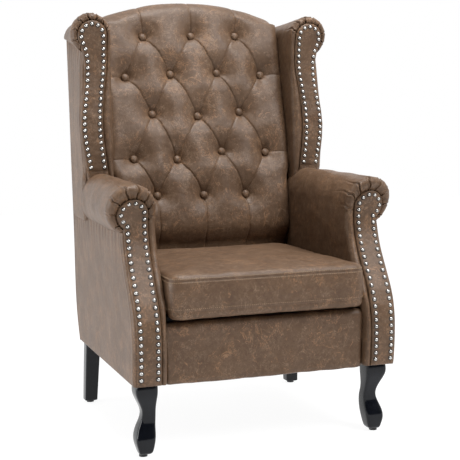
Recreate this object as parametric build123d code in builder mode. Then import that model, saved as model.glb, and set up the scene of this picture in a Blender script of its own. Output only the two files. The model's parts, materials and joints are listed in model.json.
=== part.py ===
from build123d import *
from math import asin, cos, degrees, radians, sin, sqrt, tan
import os

os.makedirs("parts", exist_ok=True)

# Overall sizes and heights, measured from the floor
seat_frame_bottom = 168
reach_front = 338
reach_rear = 338
overrun = 50
fit_gap = 0.3

# Arm roll and inside arm
arm_roll_radius = 57
arm_roll_x = 289
arm_roll_z = 546
arm_roll_rear_y = 125
arm_wall = 32
arm_seam_z = 495
arm_set_back = 95
arm_inner_x = arm_roll_x - arm_roll_radius
arm_top_z = arm_roll_z + arm_roll_radius
# How far the arm front is set back, and how high, as shares of the set-back and the height
arm_front_shares = (
    (0.07, 0), (0, 0.19), (0.16, 0.385), (0.62, 0.556), (0.96, 0.73), (0.98, 0.81), (0.64, 1),
)

# Facings and nails
facing_pad = 16
facing_proud = 4
arm_facing_inner_x = 252
arm_facing_outer_x = 309
arm_head_radius = 36
arm_head_z = 535
nail_radius = 4.5
nail_height = 2.6
nail_pitch = 15.5
nail_inset = 9.5
nail_first = 16
halvings = 25

# Wings
wing_inner_x = 241
wing_wall = 23
wing_roll_radius = 49
wing_roll_z = 956
wing_front_y = 98
wing_sway = 14
wing_post_y = 128
wing_seam_z = 912
wing_roll_x = wing_inner_x + wing_roll_radius
wing_top_z = wing_roll_z + wing_roll_radius
wing_front_shares = ((0, 0), (0, 0.29), (0.57, 0.5), (1, 0.69), (0.43, 0.89), (0, 1))
wing_facing_bottom_z = 617
wing_facing_low_x = 258
wing_facing_low_outer_x = 313
wing_facing_belly_x = 268
wing_facing_belly_outer_x = 325
wing_facing_belly_z = 725
wing_facing_neck_outer_x = 310
wing_facing_neck_z = 885
wing_head_radius = 37
wing_head_x = 289
wing_head_z = 950

# Outside covers
cover = 7
side_front_x = 316
side_rear_x = 310
wing_side_front_x = 320
back_cover = 6
# Inner face of the outside back: distance back and height
back_foot_y = 245
back_knee_y = 274
back_knee_z = 240
back_waist_y = 285
back_waist_z = 523
back_shoulder_y = 301
back_shoulder_z = 795
back_neck_y = 313
back_neck_z = 920
back_top_y = 316

# Inside back
back_lean = 13
pad_front_y = 107
pad_front_z = 548
pad_foot_y = 126.5
pad_foot_z = 428
pad_swell_y = 101
pad_swell_z = 472
pad_bend_z = 520
pad_rear_y = 176
crest_radius = 50
crest_y = 268
crest_top_z = 1048
crest_arch_radius = 667
arch_z = crest_top_z - crest_arch_radius
arch_mid_radius = crest_arch_radius - crest_radius

# Tufting
button_radius = 10
button_height = 6
button_edge_share = 0.4
tuft_depth = 22
tuft_width = 34
tuft_row_z = 548
tuft_row_rise = 104
tuft_column = 61
tuft_rows = 5
tuft_few = 3
dimple_radius = 24
twine_radius = 1.2

# Seat
deck = 17
deck_bottom_z = 296
deck_top_z = deck_bottom_z + deck
cushion_gap = 2
cushion_set_back = 4
cushion_front_y = -reach_front + cushion_set_back
cushion_rear_y = 125
cushion_corner = 26
cushion_bottom_z = deck_top_z + fit_gap
cushion_seam_z = 397
cushion_crown_z = 425
cushion_draw_in = 5
cushion_crown_inset = 110
# Height up the cushion and inset from its outline
cushion_shares = (
    (0, 0.12), (0.05, 0.03), (0.09, 0), (0.13, 0.02), (0.4, 0.03), (0.7, 0.02), (0.75, 0), (0.8, 0.07),
    (0.88, 0.22), (0.95, 0.5), (1, 1),
)
border_top_z = 302
border_bottom_z = 160
border_set_back = 24
border_thickness = 24
border_front_y = -reach_front + border_set_back
border_back_y = border_front_y + border_thickness
border_round = 10

# Frame timber
rail = 28
side_rail_height = 68
post_width = 38
front_post_depth = 40
post_inner_x = 264
post_top_z = 556
arm_rail_bottom_z = 505
arm_rail_height = 40
back_post_depth = 38
back_post_top_z = 958
liner = 28
wing_post_depth = 28
wing_rail_height = 28
crest_rail_depth = 40
crest_rail_height = 38
crest_rail_drop = 62
crest_rail_outer = crest_arch_radius - crest_rail_drop
crest_rail_over_share = 1.2
block = 50
block_height = 60
clip_half = 6
spring_wire = 4
spring_count = 5
spring_edge = 37
spring_turns = 9
spring_width = 46
spring_inset = 8
clip_length = 14
webbing = 50
webbing_wall = 2
webbing_rows = 6
hessian = 1
dust_cover = 1.5

# Legs
leg_top_half = 24.5
leg_kick = 10
front_leg_x = 278.5
front_leg_set_back = 56
front_leg_y = -reach_front + front_leg_set_back
glide_height = 5
glide_radius = 9.5
# Height, half width, outward set and backward set of the front leg's sections
front_leg_shares = (
    (1, 1, 0, 0), (0.86, 1.02, 0.05, -0.1), (0.74, 0.82, -0.25, 0.2), (0.62, 0.61, -0.65, 0.6),
    (0.49, 0.61, -0.75, 1.2), (0.39, 0.71, -0.45, 1.4), (0.27, 0.84, 0.05, 0.9), (0.18, 0.755, 0.25, 0.6),
    (0.09, 0.47, 0.35, 0.5), (0, 0.41, 0.5, 0.65),
)
rear_leg_x = 280
rear_leg_y = 234.5
rear_leg_half = 15.75
rear_foot_x = 287
rear_foot_y = 245
rear_foot_half = 13.5
bolt_radius = 4
bolt_length = 55
bolt_in_leg = 22
bolt_forward = 6
insert_wall = 2.5
insert_length = 24
insert_depth = 4

lean_slope = tan(radians(back_lean))
frame_height = arm_top_z - seat_frame_bottom
wing_height = wing_top_z - arm_top_z
wide = 2 * (arm_roll_x + arm_roll_radius) + overrun
deep = reach_front + reach_rear + overrun
tall = crest_top_z + wing_top_z


def arm_front(shift):
    """The S line of the arm front as points of depth and height, moved back by a shift."""
    return [
        (-reach_front + set_back * arm_set_back + shift, seat_frame_bottom + rise * frame_height)
        for set_back, rise in arm_front_shares
    ]


def wing_front(shift):
    """The line of the wing front as points of depth and height, moved back by a shift."""
    return [
        (wing_front_y + sway * wing_sway + shift, arm_top_z + rise * wing_height)
        for sway, rise in wing_front_shares
    ]


def back_line(shift):
    """The inner face of the outside back, bottom to top, moved by a shift."""
    return [
        (back_foot_y + shift, seat_frame_bottom),
        (back_knee_y + shift, back_knee_z),
        (back_waist_y + shift, back_waist_z),
        (back_shoulder_y + shift, back_shoulder_z),
        (back_neck_y + shift, back_neck_z),
        (back_top_y + shift, wing_top_z),
    ]


def side_face(across, front, corners, low, high):
    """A face seen from the side: a smooth front line closed by straight corners, kept between two heights."""
    with BuildSketch(Plane.YZ.offset(across)) as face:
        with BuildLine():
            Spline(*front)
            Polyline(front[-1], *corners, front[0])
        make_face()
        with Locations((0, (low + high) / 2)):
            Rectangle(2 * deep, high - low, mode=Mode.INTERSECT)
    return face.sketch


def side_strip(across, line, depth, low, high):
    """A strip seen from the side, as deep as stated behind a smooth front line, kept between two heights."""
    with BuildSketch(Plane.YZ.offset(across)) as face:
        with BuildLine():
            behind = [(y + depth, z) for y, z in line]
            Spline(*line)
            Spline(*behind)
            Line(line[0], behind[0])
            Line(line[-1], behind[-1])
        make_face()
        with Locations((0, (low + high) / 2)):
            Rectangle(2 * deep, high - low, mode=Mode.INTERSECT)
    return face.sketch


def side_polygon(across, points):
    """A straight-sided face seen from the side."""
    with BuildSketch(Plane.YZ.offset(across)) as face:
        with BuildLine():
            Polyline(*points, close=True)
        make_face()
    return face.sketch


def box_between(low, high):
    """A plain box from its lowest corner to its highest."""
    with BuildPart(Plane(low)) as piece:
        Box(*[top - bottom for bottom, top in zip(low, high)], align=Align.MIN)
    return piece.part


def lean_y(height, base):
    """Depth at a height on a plane that leans back like the buttons' plane."""
    return base + (height - pad_front_z) * lean_slope


def keep(piece, name):
    """Labels a finished piece and writes it."""
    piece.label = name
    export_step(piece, f"parts/{name}.step")


def keep_pair(piece, name):
    """Writes a right-hand piece and its mirror image."""
    with BuildPart() as other:
        mirror(piece, about=Plane.YZ)
    keep(piece, f"right_{name}")
    keep(other.part, f"left_{name}")


# Bolts that hold the legs, and the inserts that they screw into
leg_spots = ((front_leg_x, front_leg_y), (rear_leg_x, rear_leg_y))
bolt_spots = [(side * x, y - bolt_forward) for side in (-1, 1) for x, y in leg_spots]
insert_z = seat_frame_bottom + insert_depth
with BuildPart() as leg_bolts:
    with Locations(*[(x, y, seat_frame_bottom - bolt_in_leg) for x, y in bolt_spots]):
        Cylinder(bolt_radius, bolt_length, align=(Align.CENTER, Align.CENTER, Align.MIN))

with BuildPart() as threaded_inserts:
    with Locations(*[(x, y, insert_z) for x, y in bolt_spots]):
        Cylinder(bolt_radius + insert_wall, insert_length, align=(Align.CENTER, Align.CENTER, Align.MIN))
    add(leg_bolts.part, mode=Mode.SUBTRACT)

# Timber that the covers are cut round
with BuildPart() as back_post:
    front_edge = [(y - back_post_depth, z) for y, z in back_line(0)]
    extrude(side_polygon(post_inner_x, back_line(0) + front_edge[::-1]), amount=post_width)
    add(box_between((0, 0, seat_frame_bottom), (wide, deep, back_post_top_z)), mode=Mode.INTERSECT)
    add(leg_bolts.part, mode=Mode.SUBTRACT)
    add(threaded_inserts.part, mode=Mode.SUBTRACT)

with BuildPart() as front_post:
    extrude(
        side_strip(post_inner_x, arm_front(facing_pad), front_post_depth, seat_frame_bottom, post_top_z),
        amount=post_width,
    )
    add(leg_bolts.part, mode=Mode.SUBTRACT)
    add(threaded_inserts.part, mode=Mode.SUBTRACT)

with BuildPart() as arm_rail:
    low = (post_inner_x, -reach_front + arm_set_back, arm_rail_bottom_z)
    high = (post_inner_x + post_width, back_waist_y, arm_rail_bottom_z + arm_rail_height)
    add(box_between(low, high))
    add(front_post.part, mode=Mode.SUBTRACT)
    add(back_post.part, mode=Mode.SUBTRACT)
arm_rail_solid = arm_rail.part.solids().sort_by(SortBy.VOLUME)[-1]

arm_rail_top_z = arm_rail_bottom_z + arm_rail_height
wing_rail_z = back_post_top_z - wing_rail_height
with BuildPart() as wing_post:
    add(box_between((post_inner_x, wing_post_y, arm_rail_top_z),
                    (post_inner_x + post_width, wing_post_y + wing_post_depth, wing_rail_z)))

with BuildPart() as wing_top_rail:
    add(box_between((post_inner_x, wing_post_y, wing_rail_z),
                    (post_inner_x + post_width, back_neck_y, back_post_top_z)))
    add(back_post.part, mode=Mode.SUBTRACT)
wing_rail_solid = wing_top_rail.part.solids().sort_by(Axis.Y)[0]

with BuildPart() as side_rail:
    low = (post_inner_x + post_width - rail, -reach_front, seat_frame_bottom)
    high = (post_inner_x + post_width, back_foot_y, seat_frame_bottom + side_rail_height)
    add(box_between(low, high))
    add(front_post.part, mode=Mode.SUBTRACT)
    add(back_post.part, mode=Mode.SUBTRACT)
side_rail_solid = side_rail.part.solids().sort_by(SortBy.VOLUME)[-1]

front_rail_back_y = border_back_y + rail
with BuildPart() as front_rail:
    add(box_between((-post_inner_x, border_back_y, seat_frame_bottom),
                    (post_inner_x, front_rail_back_y, deck_bottom_z - spring_wire)))

rear_rail_y = pad_rear_y + rail
with BuildPart() as rear_rail:
    half = post_inner_x + post_width - rail
    add(box_between((-half, pad_rear_y, seat_frame_bottom), (half, rear_rail_y, deck_bottom_z - spring_wire)))

with BuildPart() as crest_rail:
    with BuildSketch(Plane.YZ):
        with Locations((back_neck_y - crest_rail_depth, arch_z + crest_rail_outer - crest_rail_height)):
            Rectangle(crest_rail_depth, crest_rail_height, align=Align.MIN)
    crest_angle = degrees(asin(post_inner_x / crest_rail_outer))
    revolve(axis=Axis((0, 0, arch_z), (0, 1, 0)), revolution_arc=crest_rail_over_share * crest_angle)
    split(bisect_by=Plane.YZ.offset(post_inner_x), keep=Keep.BOTTOM)
    mirror(about=Plane.YZ)
    extrude(side_polygon(-post_inner_x, [(0, 0), *back_line(0), (back_top_y, tall), (0, tall)]),
            amount=2 * post_inner_x, mode=Mode.INTERSECT)


def rear_line(shift, low, high):
    """The rear face of the inside back between two heights, moved back by a shift."""
    upright_y = pad_rear_y + shift
    return [(upright_y, low), (upright_y, pad_front_z), (lean_y(high, pad_rear_y) + shift, high)]


back_sheet = hessian + webbing_wall
slat_top_z = arch_z + sqrt((arch_mid_radius - crest_radius)**2 - wing_inner_x**2)
with BuildPart() as back_slat:
    front = rear_line(back_sheet, deck_bottom_z - spring_wire, slat_top_z)
    behind = rear_line(back_sheet + liner, deck_bottom_z - spring_wire, slat_top_z)
    extrude(side_polygon(wing_inner_x - liner, front + behind[::-1]), amount=liner)

# Arm facing: a padded keyhole strip that follows the S line of the arm front
with BuildPart() as arm_facing:
    extrude(
        side_strip(arm_facing_inner_x, arm_front(0), facing_pad, seat_frame_bottom, arm_top_z),
        amount=2 * arm_head_radius,
    )
    with BuildSketch(Plane.XZ.offset(-deep)) as keyhole:
        head_x = arm_facing_inner_x + arm_head_radius
        neck_z = arm_head_z - sqrt(arm_head_radius**2 - (arm_facing_outer_x - head_x)**2)
        with BuildLine():
            Polyline((arm_facing_outer_x, neck_z), (arm_facing_outer_x, seat_frame_bottom),
                     (arm_facing_inner_x, seat_frame_bottom), (arm_facing_inner_x, arm_head_z))
            ThreePointArc((arm_facing_inner_x, arm_head_z), (head_x, arm_head_z + arm_head_radius),
                          (head_x + arm_head_radius, arm_head_z))
            middle = -asin((arm_head_z - neck_z) / arm_head_radius) / 2
            cheek = (head_x + arm_head_radius * cos(middle), arm_head_z + arm_head_radius * sin(middle))
            ThreePointArc((head_x + arm_head_radius, arm_head_z), cheek, (arm_facing_outer_x, neck_z))
        make_face()
    extrude(amount=2 * deep, mode=Mode.INTERSECT)

# Arm pad: the inside arm and the scroll roll in one cover
with BuildPart() as arm_pad:
    with BuildSketch(Plane.XZ.offset(-arm_roll_rear_y)):
        with BuildLine():
            seam_half = sqrt(arm_roll_radius**2 - (arm_roll_z - arm_seam_z)**2)
            low_turn = asin((arm_roll_z - arm_seam_z) / arm_roll_radius) / 2
            ThreePointArc((arm_inner_x, arm_roll_z), (arm_roll_x, arm_top_z),
                          (arm_roll_x + arm_roll_radius, arm_roll_z))
            under = (arm_roll_x + arm_roll_radius * cos(low_turn),
                     arm_roll_z - arm_roll_radius * sin(low_turn))
            seam_end = (arm_roll_x + seam_half, arm_seam_z)
            ThreePointArc((arm_roll_x + arm_roll_radius, arm_roll_z), under, seam_end)
            Polyline(seam_end, (arm_inner_x, arm_seam_z), (arm_inner_x, arm_roll_z))
        make_face()
    extrude(amount=deep)
    behind = [(deep, arm_top_z), (deep, seat_frame_bottom)]
    roll_side = side_face(arm_inner_x, arm_front(facing_proud), behind, seat_frame_bottom, arm_top_z)
    extrude(roll_side, amount=2 * arm_roll_radius, mode=Mode.INTERSECT)
    wall_side = side_face(
        arm_inner_x, arm_front(facing_proud),
        [(pad_rear_y, arm_top_z), (pad_rear_y, deck_bottom_z), (border_back_y, deck_bottom_z),
         (border_back_y, seat_frame_bottom)],
        seat_frame_bottom, arm_roll_z,
    )
    extrude(wall_side, amount=arm_wall)
    add(box_between((arm_inner_x, arm_roll_rear_y, arm_roll_z),
                    (arm_inner_x + arm_wall, pad_rear_y, arm_top_z)))
    for inner in (arm_facing.part, front_post.part, arm_rail_solid, wing_post.part):
        add(inner, mode=Mode.SUBTRACT)

# Wing facing: a waisted strip on the wing post
with BuildPart() as wing_facing:
    extrude(
        side_face(arm_inner_x, wing_front(0), [(wing_post_y, wing_top_z), (wing_post_y, arm_top_z)],
                  wing_facing_bottom_z, wing_top_z),
        amount=2 * arm_roll_radius,
    )
    with BuildSketch(Plane.XZ.offset(-deep)):
        with BuildLine():
            left_head = (wing_head_x - wing_head_radius, wing_head_z)
            right_head = (wing_head_x + wing_head_radius, wing_head_z)
            Spline((wing_facing_low_x, wing_facing_bottom_z), (wing_facing_belly_x, wing_facing_belly_z),
                   (wing_head_x - wing_head_radius, wing_facing_neck_z), left_head)
            ThreePointArc(left_head, (wing_head_x, wing_head_z + wing_head_radius), right_head)
            Spline(right_head, (wing_facing_neck_outer_x, wing_facing_neck_z),
                   (wing_facing_belly_outer_x, wing_facing_belly_z),
                   (wing_facing_low_outer_x, wing_facing_bottom_z))
            Line((wing_facing_low_outer_x, wing_facing_bottom_z), (wing_facing_low_x, wing_facing_bottom_z))
        make_face()
    extrude(amount=2 * deep, mode=Mode.INTERSECT)

# Wing pad: the inside wing and the wing roll in one cover
with BuildPart() as wing_pad:
    with BuildSketch(Plane.XZ.offset(-reach_rear)):
        with BuildLine():
            seam_half = sqrt(wing_roll_radius**2 - (wing_roll_z - wing_seam_z)**2)
            low_turn = asin((wing_roll_z - wing_seam_z) / wing_roll_radius) / 2
            ThreePointArc((wing_inner_x, wing_roll_z), (wing_roll_x, wing_top_z),
                          (wing_roll_x + wing_roll_radius, wing_roll_z))
            ThreePointArc((wing_roll_x + wing_roll_radius, wing_roll_z),
                          (wing_roll_x + wing_roll_radius * cos(low_turn),
                           wing_roll_z - wing_roll_radius * sin(low_turn)),
                          (wing_roll_x + seam_half, wing_seam_z))
            wall_x = wing_inner_x + wing_wall
            Polyline((wing_roll_x + seam_half, wing_seam_z), (wall_x, wing_seam_z), (wall_x, arm_top_z),
                     (wing_inner_x, arm_top_z), (wing_inner_x, wing_roll_z))
        make_face()
    extrude(amount=deep)
    wing_side = side_face(wing_inner_x, wing_front(facing_proud), [(deep, wing_top_z), (deep, arm_top_z)],
                          arm_top_z, wing_top_z)
    extrude(wing_side, amount=2 * wing_roll_radius, mode=Mode.INTERSECT)
    for inner in (wing_facing.part, wing_post.part, wing_rail_solid, back_post.part, crest_rail.part):
        add(inner, mode=Mode.SUBTRACT)
    below_back = [(back_top_y, wing_seam_z), (back_shoulder_y, back_shoulder_z), (back_waist_y, back_waist_z)]
    extrude(side_polygon(wing_inner_x, below_back + [(deep, back_waist_z), (deep, wing_seam_z)]),
            amount=wing_wall, mode=Mode.SUBTRACT)
wing_pad_solid = wing_pad.part.solids().sort_by(SortBy.VOLUME)[-1]


# Inside back: the leaning pad, its rolled crest and the tufting cut into it
def pad_outline(half):
    """The inside back seen from the front, up to the middle of the crest."""
    side_z = arch_z + sqrt(arch_mid_radius**2 - half**2)
    with BuildSketch(Plane.XZ.offset(-deep)) as face:
        with BuildLine():
            ThreePointArc((-half, side_z), (0, arch_z + arch_mid_radius), (half, side_z))
            right = [(half, side_z), (half, arm_top_z), (arm_inner_x, arm_top_z), (arm_inner_x, deck_top_z)]
            Polyline(*right, *[(-x, z) for x, z in right[::-1]])
        make_face()
    return face.sketch


with BuildPart() as crest_roll:
    with Locations(Location((0, crest_y, arch_z), (90, 0, 0))):
        Torus(arch_mid_radius, crest_radius)
    add(box_between((-wing_inner_x, 0, arm_top_z), (wing_inner_x, deep, tall)), mode=Mode.INTERSECT)

with BuildPart() as inside_back:
    with BuildSketch(Plane.YZ.offset(-wing_inner_x)):
        with BuildLine():
            bend = (lean_y(pad_bend_z, pad_front_y), pad_bend_z)
            ThreePointArc((pad_foot_y, pad_foot_z), (pad_swell_y, pad_swell_z), bend)
            Polyline(bend, (lean_y(crest_top_z, pad_front_y), crest_top_z),
                     (lean_y(crest_top_z, pad_rear_y), crest_top_z), (pad_rear_y, pad_front_z),
                     (pad_rear_y, deck_top_z), (pad_foot_y, deck_top_z), (pad_foot_y, pad_foot_z))
        make_face()
    extrude(amount=2 * wing_inner_x)
    extrude(pad_outline(wing_inner_x), amount=2 * deep, mode=Mode.INTERSECT)
    add(crest_roll.part)
    add(crest_rail.part, mode=Mode.SUBTRACT)
    # Tufting: a sewn groove along each side of every diamond, and a dimple round each button
    lean = Plane((0, lean_y(tuft_row_z, pad_front_y), tuft_row_z), x_dir=(1, 0, 0),
                 z_dir=(0, -cos(radians(back_lean)), sin(radians(back_lean))))
    step = tuft_row_rise / cos(radians(back_lean))
    rows = []
    for row in range(tuft_rows):
        count = tuft_few + row % 2
        rows.append([(2 * tuft_column * (column - (count - 1) / 2), row * step) for column in range(count)])
    seams = []
    for low_row, high_row in zip(rows, rows[1:]):
        for low in low_row:
            seams += [(low, high) for high in high_row if abs(low[0] - high[0]) < 2 * tuft_column]
    side = wing_inner_x + overrun
    seams += [((x, y), (x, y + step)) for x, y in rows[-1]]
    seams += [((x, y), (x, y - step)) for x, y in rows[0]]
    for row in rows[1::2]:
        seams += [(row[0], (-side, row[0][1])), (row[-1], (side, row[-1][1]))]
    for start, end in seams:
        low = lean.from_local_coords(Vector(*start, 0))
        along = lean.from_local_coords(Vector(*end, 0)) - low
        with BuildSketch(Plane(low, x_dir=lean.z_dir.cross(along), z_dir=along)):
            with BuildLine():
                Polyline((0, -tuft_depth), (tuft_width / 2, 0), (tuft_width / 2, overrun),
                         (-tuft_width / 2, overrun), (-tuft_width / 2, 0), close=True)
            make_face()
        extrude(amount=along.length, mode=Mode.SUBTRACT)
    buttons_at = [lean * Location((x, y, -tuft_depth)) for row in rows for x, y in row]
    twine_length = (pad_rear_y - pad_front_y) * cos(radians(back_lean)) - tuft_depth
    with Locations(*buttons_at):
        Cone(button_radius, dimple_radius, tuft_depth, align=(Align.CENTER, Align.CENTER, Align.MIN),
             mode=Mode.SUBTRACT)
        Cylinder(twine_radius, twine_length, align=(Align.CENTER, Align.CENTER, Align.MAX),
                 mode=Mode.SUBTRACT)

with BuildPart() as tufting_twines:
    with Locations(*buttons_at):
        Cylinder(twine_radius, twine_length, align=(Align.CENTER, Align.CENTER, Align.MAX))

# Hessian and webbing behind the tufted pad, tacked to the slats
back_sheet_low_z = deck_bottom_z
with BuildPart() as back_hessian:
    front = rear_line(0, back_sheet_low_z, slat_top_z)
    extrude(side_polygon(-wing_inner_x, front + rear_line(hessian, back_sheet_low_z, slat_top_z)[::-1]),
            amount=2 * wing_inner_x)

with BuildPart() as back_webbing:
    front = rear_line(hessian, back_sheet_low_z, slat_top_z)
    extrude(side_polygon(-wing_inner_x, front + rear_line(back_sheet, back_sheet_low_z, slat_top_z)[::-1]),
            amount=2 * wing_inner_x)
    with BuildSketch(Plane.XZ.offset(-deep)):
        first_z = back_sheet_low_z + webbing / 2
        with Locations(*[(0, first_z + 2 * webbing * index) for index in range(webbing_rows)]):
            Rectangle(2 * wide, webbing)
    extrude(amount=2 * deep, mode=Mode.INTERSECT)

with BuildPart() as back_buttons:
    with Locations(*buttons_at):
        Cylinder(button_radius, button_height, align=(Align.CENTER, Align.CENTER, Align.MIN))
    rims = back_buttons.edges().filter_by(GeomType.CIRCLE).group_by(SortBy.LENGTH)[0]
    fillet(rims, button_edge_share * button_height)


# Outside covers, front to back on the right-hand side
def side_cover(front_x, front_y, low, high):
    """A side cover seen from above: a strip that runs to the back edge and turns in at its front corner."""
    with BuildPart() as strip:
        with BuildSketch(Plane.XY.offset(low)):
            with BuildLine():
                Polyline((front_x - cover, front_y), (front_x, front_y), (side_rear_x, reach_rear),
                         (side_rear_x - cover, reach_rear), close=True)
            make_face()
        extrude(amount=high - low)
    return strip.part


with BuildPart() as outside_arm:
    add(side_cover(side_front_x, -reach_front, seat_frame_bottom, arm_seam_z))
    extrude(side_face(0, arm_front(facing_proud), back_line(0)[::-1], seat_frame_bottom, arm_seam_z),
            amount=wide, mode=Mode.INTERSECT)
    add(arm_facing.part, mode=Mode.SUBTRACT)

with BuildPart() as outside_wing:
    add(side_cover(wing_side_front_x, arm_roll_rear_y - 2 * facing_pad, arm_seam_z, wing_seam_z))
    front = wing_front(facing_proud)
    with BuildSketch(Plane.YZ):
        with BuildLine():
            Spline(*front)
            Polyline(front[-1], back_line(0)[-1], *back_line(0)[-2:1:-1], (back_waist_y, arm_seam_z),
                     (arm_roll_rear_y, arm_seam_z), (arm_roll_rear_y, arm_top_z), front[0])
        make_face()
    extrude(amount=wide, mode=Mode.INTERSECT)
    for inner in (wing_facing.part, wing_pad_solid):
        add(inner, mode=Mode.SUBTRACT)

with BuildPart() as outside_back:
    half = side_rear_x
    extrude(side_polygon(-half, back_line(0) + back_line(back_cover)[::-1]), amount=2 * half)
    with BuildSketch(Plane.XZ.offset(-deep)):
        low_arch = arch_mid_radius - facing_pad
        side_z = arch_z + sqrt(low_arch**2 - half**2)
        with BuildLine():
            ThreePointArc((-half, side_z), (0, arch_z + low_arch), (half, side_z))
            Polyline((half, side_z), (half, seat_frame_bottom), (-half, seat_frame_bottom), (-half, side_z))
        make_face()
    extrude(amount=2 * deep, mode=Mode.INTERSECT)
    add(inside_back.part, mode=Mode.SUBTRACT)
    add(wing_pad_solid, mode=Mode.SUBTRACT)
    add(mirror(wing_pad_solid, about=Plane.YZ, mode=Mode.PRIVATE), mode=Mode.SUBTRACT)
    add(outside_wing.part, mode=Mode.SUBTRACT)
    add(mirror(outside_wing.part, about=Plane.YZ, mode=Mode.PRIVATE), mode=Mode.SUBTRACT)

# Front border between the arms
with BuildPart() as front_border:
    add(box_between((-arm_inner_x, border_front_y, border_bottom_z),
                    (arm_inner_x, border_back_y, border_top_z)))
    fillet(front_border.edges().filter_by(Axis.X).group_by(Axis.Y)[0], border_round)
    for facing in (arm_facing.part, arm_pad.part):
        add(facing, mode=Mode.SUBTRACT)

# Seat: springs and clips on the rails, the deck over them and the loose cushion
with BuildPart() as seat_deck:
    half = arm_inner_x
    add(box_between((-half, border_back_y, deck_bottom_z), (half, pad_rear_y, deck_top_z)))

spring_z = deck_bottom_z - spring_wire / 2
spring_front_y = border_back_y + spring_inset
spring_rear_y = rear_rail_y - spring_inset
spring_step = (spring_rear_y - spring_front_y) / (spring_turns + 1)
path = [(0, spring_front_y), (0, spring_front_y + spring_step)]
for turn in range(spring_turns - 1):
    turn_y = spring_front_y + (turn + 1) * spring_step + spring_step / 2
    path.append((spring_width / 2 * (-1)**turn, turn_y))
path += [(0, spring_rear_y - spring_step), (0, spring_rear_y)]
with BuildPart() as one_spring:
    with BuildLine(Plane.XY.offset(spring_z)) as wave:
        FilletPolyline(*path, radius=spring_step / 3)
    with BuildSketch(Plane(wave.line @ 0, z_dir=wave.line % 0)):
        Circle(spring_wire / 2)
    sweep()

spring_pitch = 2 * (wing_inner_x - liner - spring_edge) / (spring_count - 1)
spring_places = [(index - (spring_count - 1) / 2) * spring_pitch for index in range(spring_count)]
with BuildPart() as seat_springs:
    for x in spring_places:
        add(one_spring.part.moved(Location((x, 0, 0))))

with BuildPart() as spring_clips:
    for y in (spring_front_y, spring_rear_y - clip_length):
        with Locations(*[(x, y, spring_z) for x in spring_places]):
            Box(2 * clip_half, clip_length, spring_wire, align=(Align.CENTER, Align.MIN, Align.CENTER))
    add(seat_springs.part, mode=Mode.SUBTRACT)


def cushion_section(height, inset):
    """One level outline of the cushion: round corners, and sides drawn in between them."""
    half = arm_inner_x - cushion_gap - inset
    front = cushion_front_y + inset
    rear = cushion_rear_y - inset
    corner = cushion_corner
    slack = corner * (1 - sqrt(0.5))
    with BuildSketch(Plane.XY.offset(height)) as level:
        with BuildLine():
            middle = (front + rear) / 2
            ThreePointArc((-half + corner, front), (0, front + cushion_draw_in), (half - corner, front))
            ThreePointArc((half - corner, front), (half - slack, front + slack), (half, front + corner))
            ThreePointArc((half, front + corner), (half - cushion_draw_in, middle), (half, rear - corner))
            ThreePointArc((half, rear - corner), (half - slack, rear - slack), (half - corner, rear))
            ThreePointArc((half - corner, rear), (0, rear - cushion_draw_in), (-half + corner, rear))
            ThreePointArc((-half + corner, rear), (-half + slack, rear - slack), (-half, rear - corner))
            ThreePointArc((-half, rear - corner), (-half + cushion_draw_in, middle), (-half, front + corner))
            ThreePointArc((-half, front + corner), (-half + slack, front + slack), (-half + corner, front))
        make_face()
    return level.sketch


cushion_rise = cushion_crown_z - cushion_bottom_z
levels = [cushion_section(cushion_bottom_z + up * cushion_rise, inset * cushion_crown_inset)
          for up, inset in cushion_shares]
with BuildPart() as seat_cushion:
    loft(levels, ruled=True)

# Glued blocks in the corners of the seat frame
with BuildPart() as corner_blocks:
    inside_x = post_inner_x + post_width - rail
    with BuildSketch(Plane.XY.offset(seat_frame_bottom)):
        for y, turn in ((front_rail_back_y, 1), (pad_rear_y, -1)):
            for side in (-1, 1):
                with BuildLine():
                    Polyline((side * inside_x, y), (side * (inside_x - block), y),
                             (side * inside_x, y + turn * block), close=True)
                make_face()
    extrude(amount=block_height)

with BuildPart() as dust_cover_sheet:
    half = front_leg_x - leg_top_half
    add(box_between((-half, border_back_y, seat_frame_bottom - dust_cover),
                    (half, rear_rail_y, seat_frame_bottom)))

# Legs and glides
front_leg_height = seat_frame_bottom - glide_height


def square_at(x, y, z, half):
    """A level square section of a leg."""
    with BuildSketch(Plane((x, y, z))) as section:
        Rectangle(2 * half, 2 * half)
    return section.sketch


front_sections = [
    square_at(front_leg_x + out * leg_kick, front_leg_y + back * leg_kick,
              glide_height + up * front_leg_height, thick * leg_top_half)
    for up, thick, out, back in front_leg_shares
]
with BuildPart() as front_leg:
    loft(front_sections)
    add(leg_bolts.part, mode=Mode.SUBTRACT)

with BuildPart() as rear_leg:
    loft([square_at(rear_leg_x, rear_leg_y, seat_frame_bottom, rear_leg_half),
          square_at(rear_foot_x, rear_foot_y, glide_height, rear_foot_half)])
    add(leg_bolts.part, mode=Mode.SUBTRACT)

foot_out, foot_back = [share * leg_kick for share in front_leg_shares[-1][2:]]
with BuildPart() as front_glide:
    with Locations((front_leg_x + foot_out, front_leg_y + foot_back)):
        Cylinder(glide_radius, glide_height, align=(Align.CENTER, Align.CENTER, Align.MIN))

with BuildPart() as rear_glide:
    with Locations((rear_foot_x, rear_foot_y)):
        Cylinder(glide_radius, glide_height, align=(Align.CENTER, Align.CENTER, Align.MIN))


# Nailheads in a row round each facing
def depth_at(line, height):
    """Depth and slope of a front line at a height, found by halving."""
    with BuildLine() as curve:
        Spline(*line)
    low, high = 0.0, 1.0
    for _ in range(halvings):
        middle = (low + high) / 2
        if (curve.line @ middle).Y < height:
            low = middle
        else:
            high = middle
    run = curve.line % low
    return (curve.line @ low).X, run.X / run.Y


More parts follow.
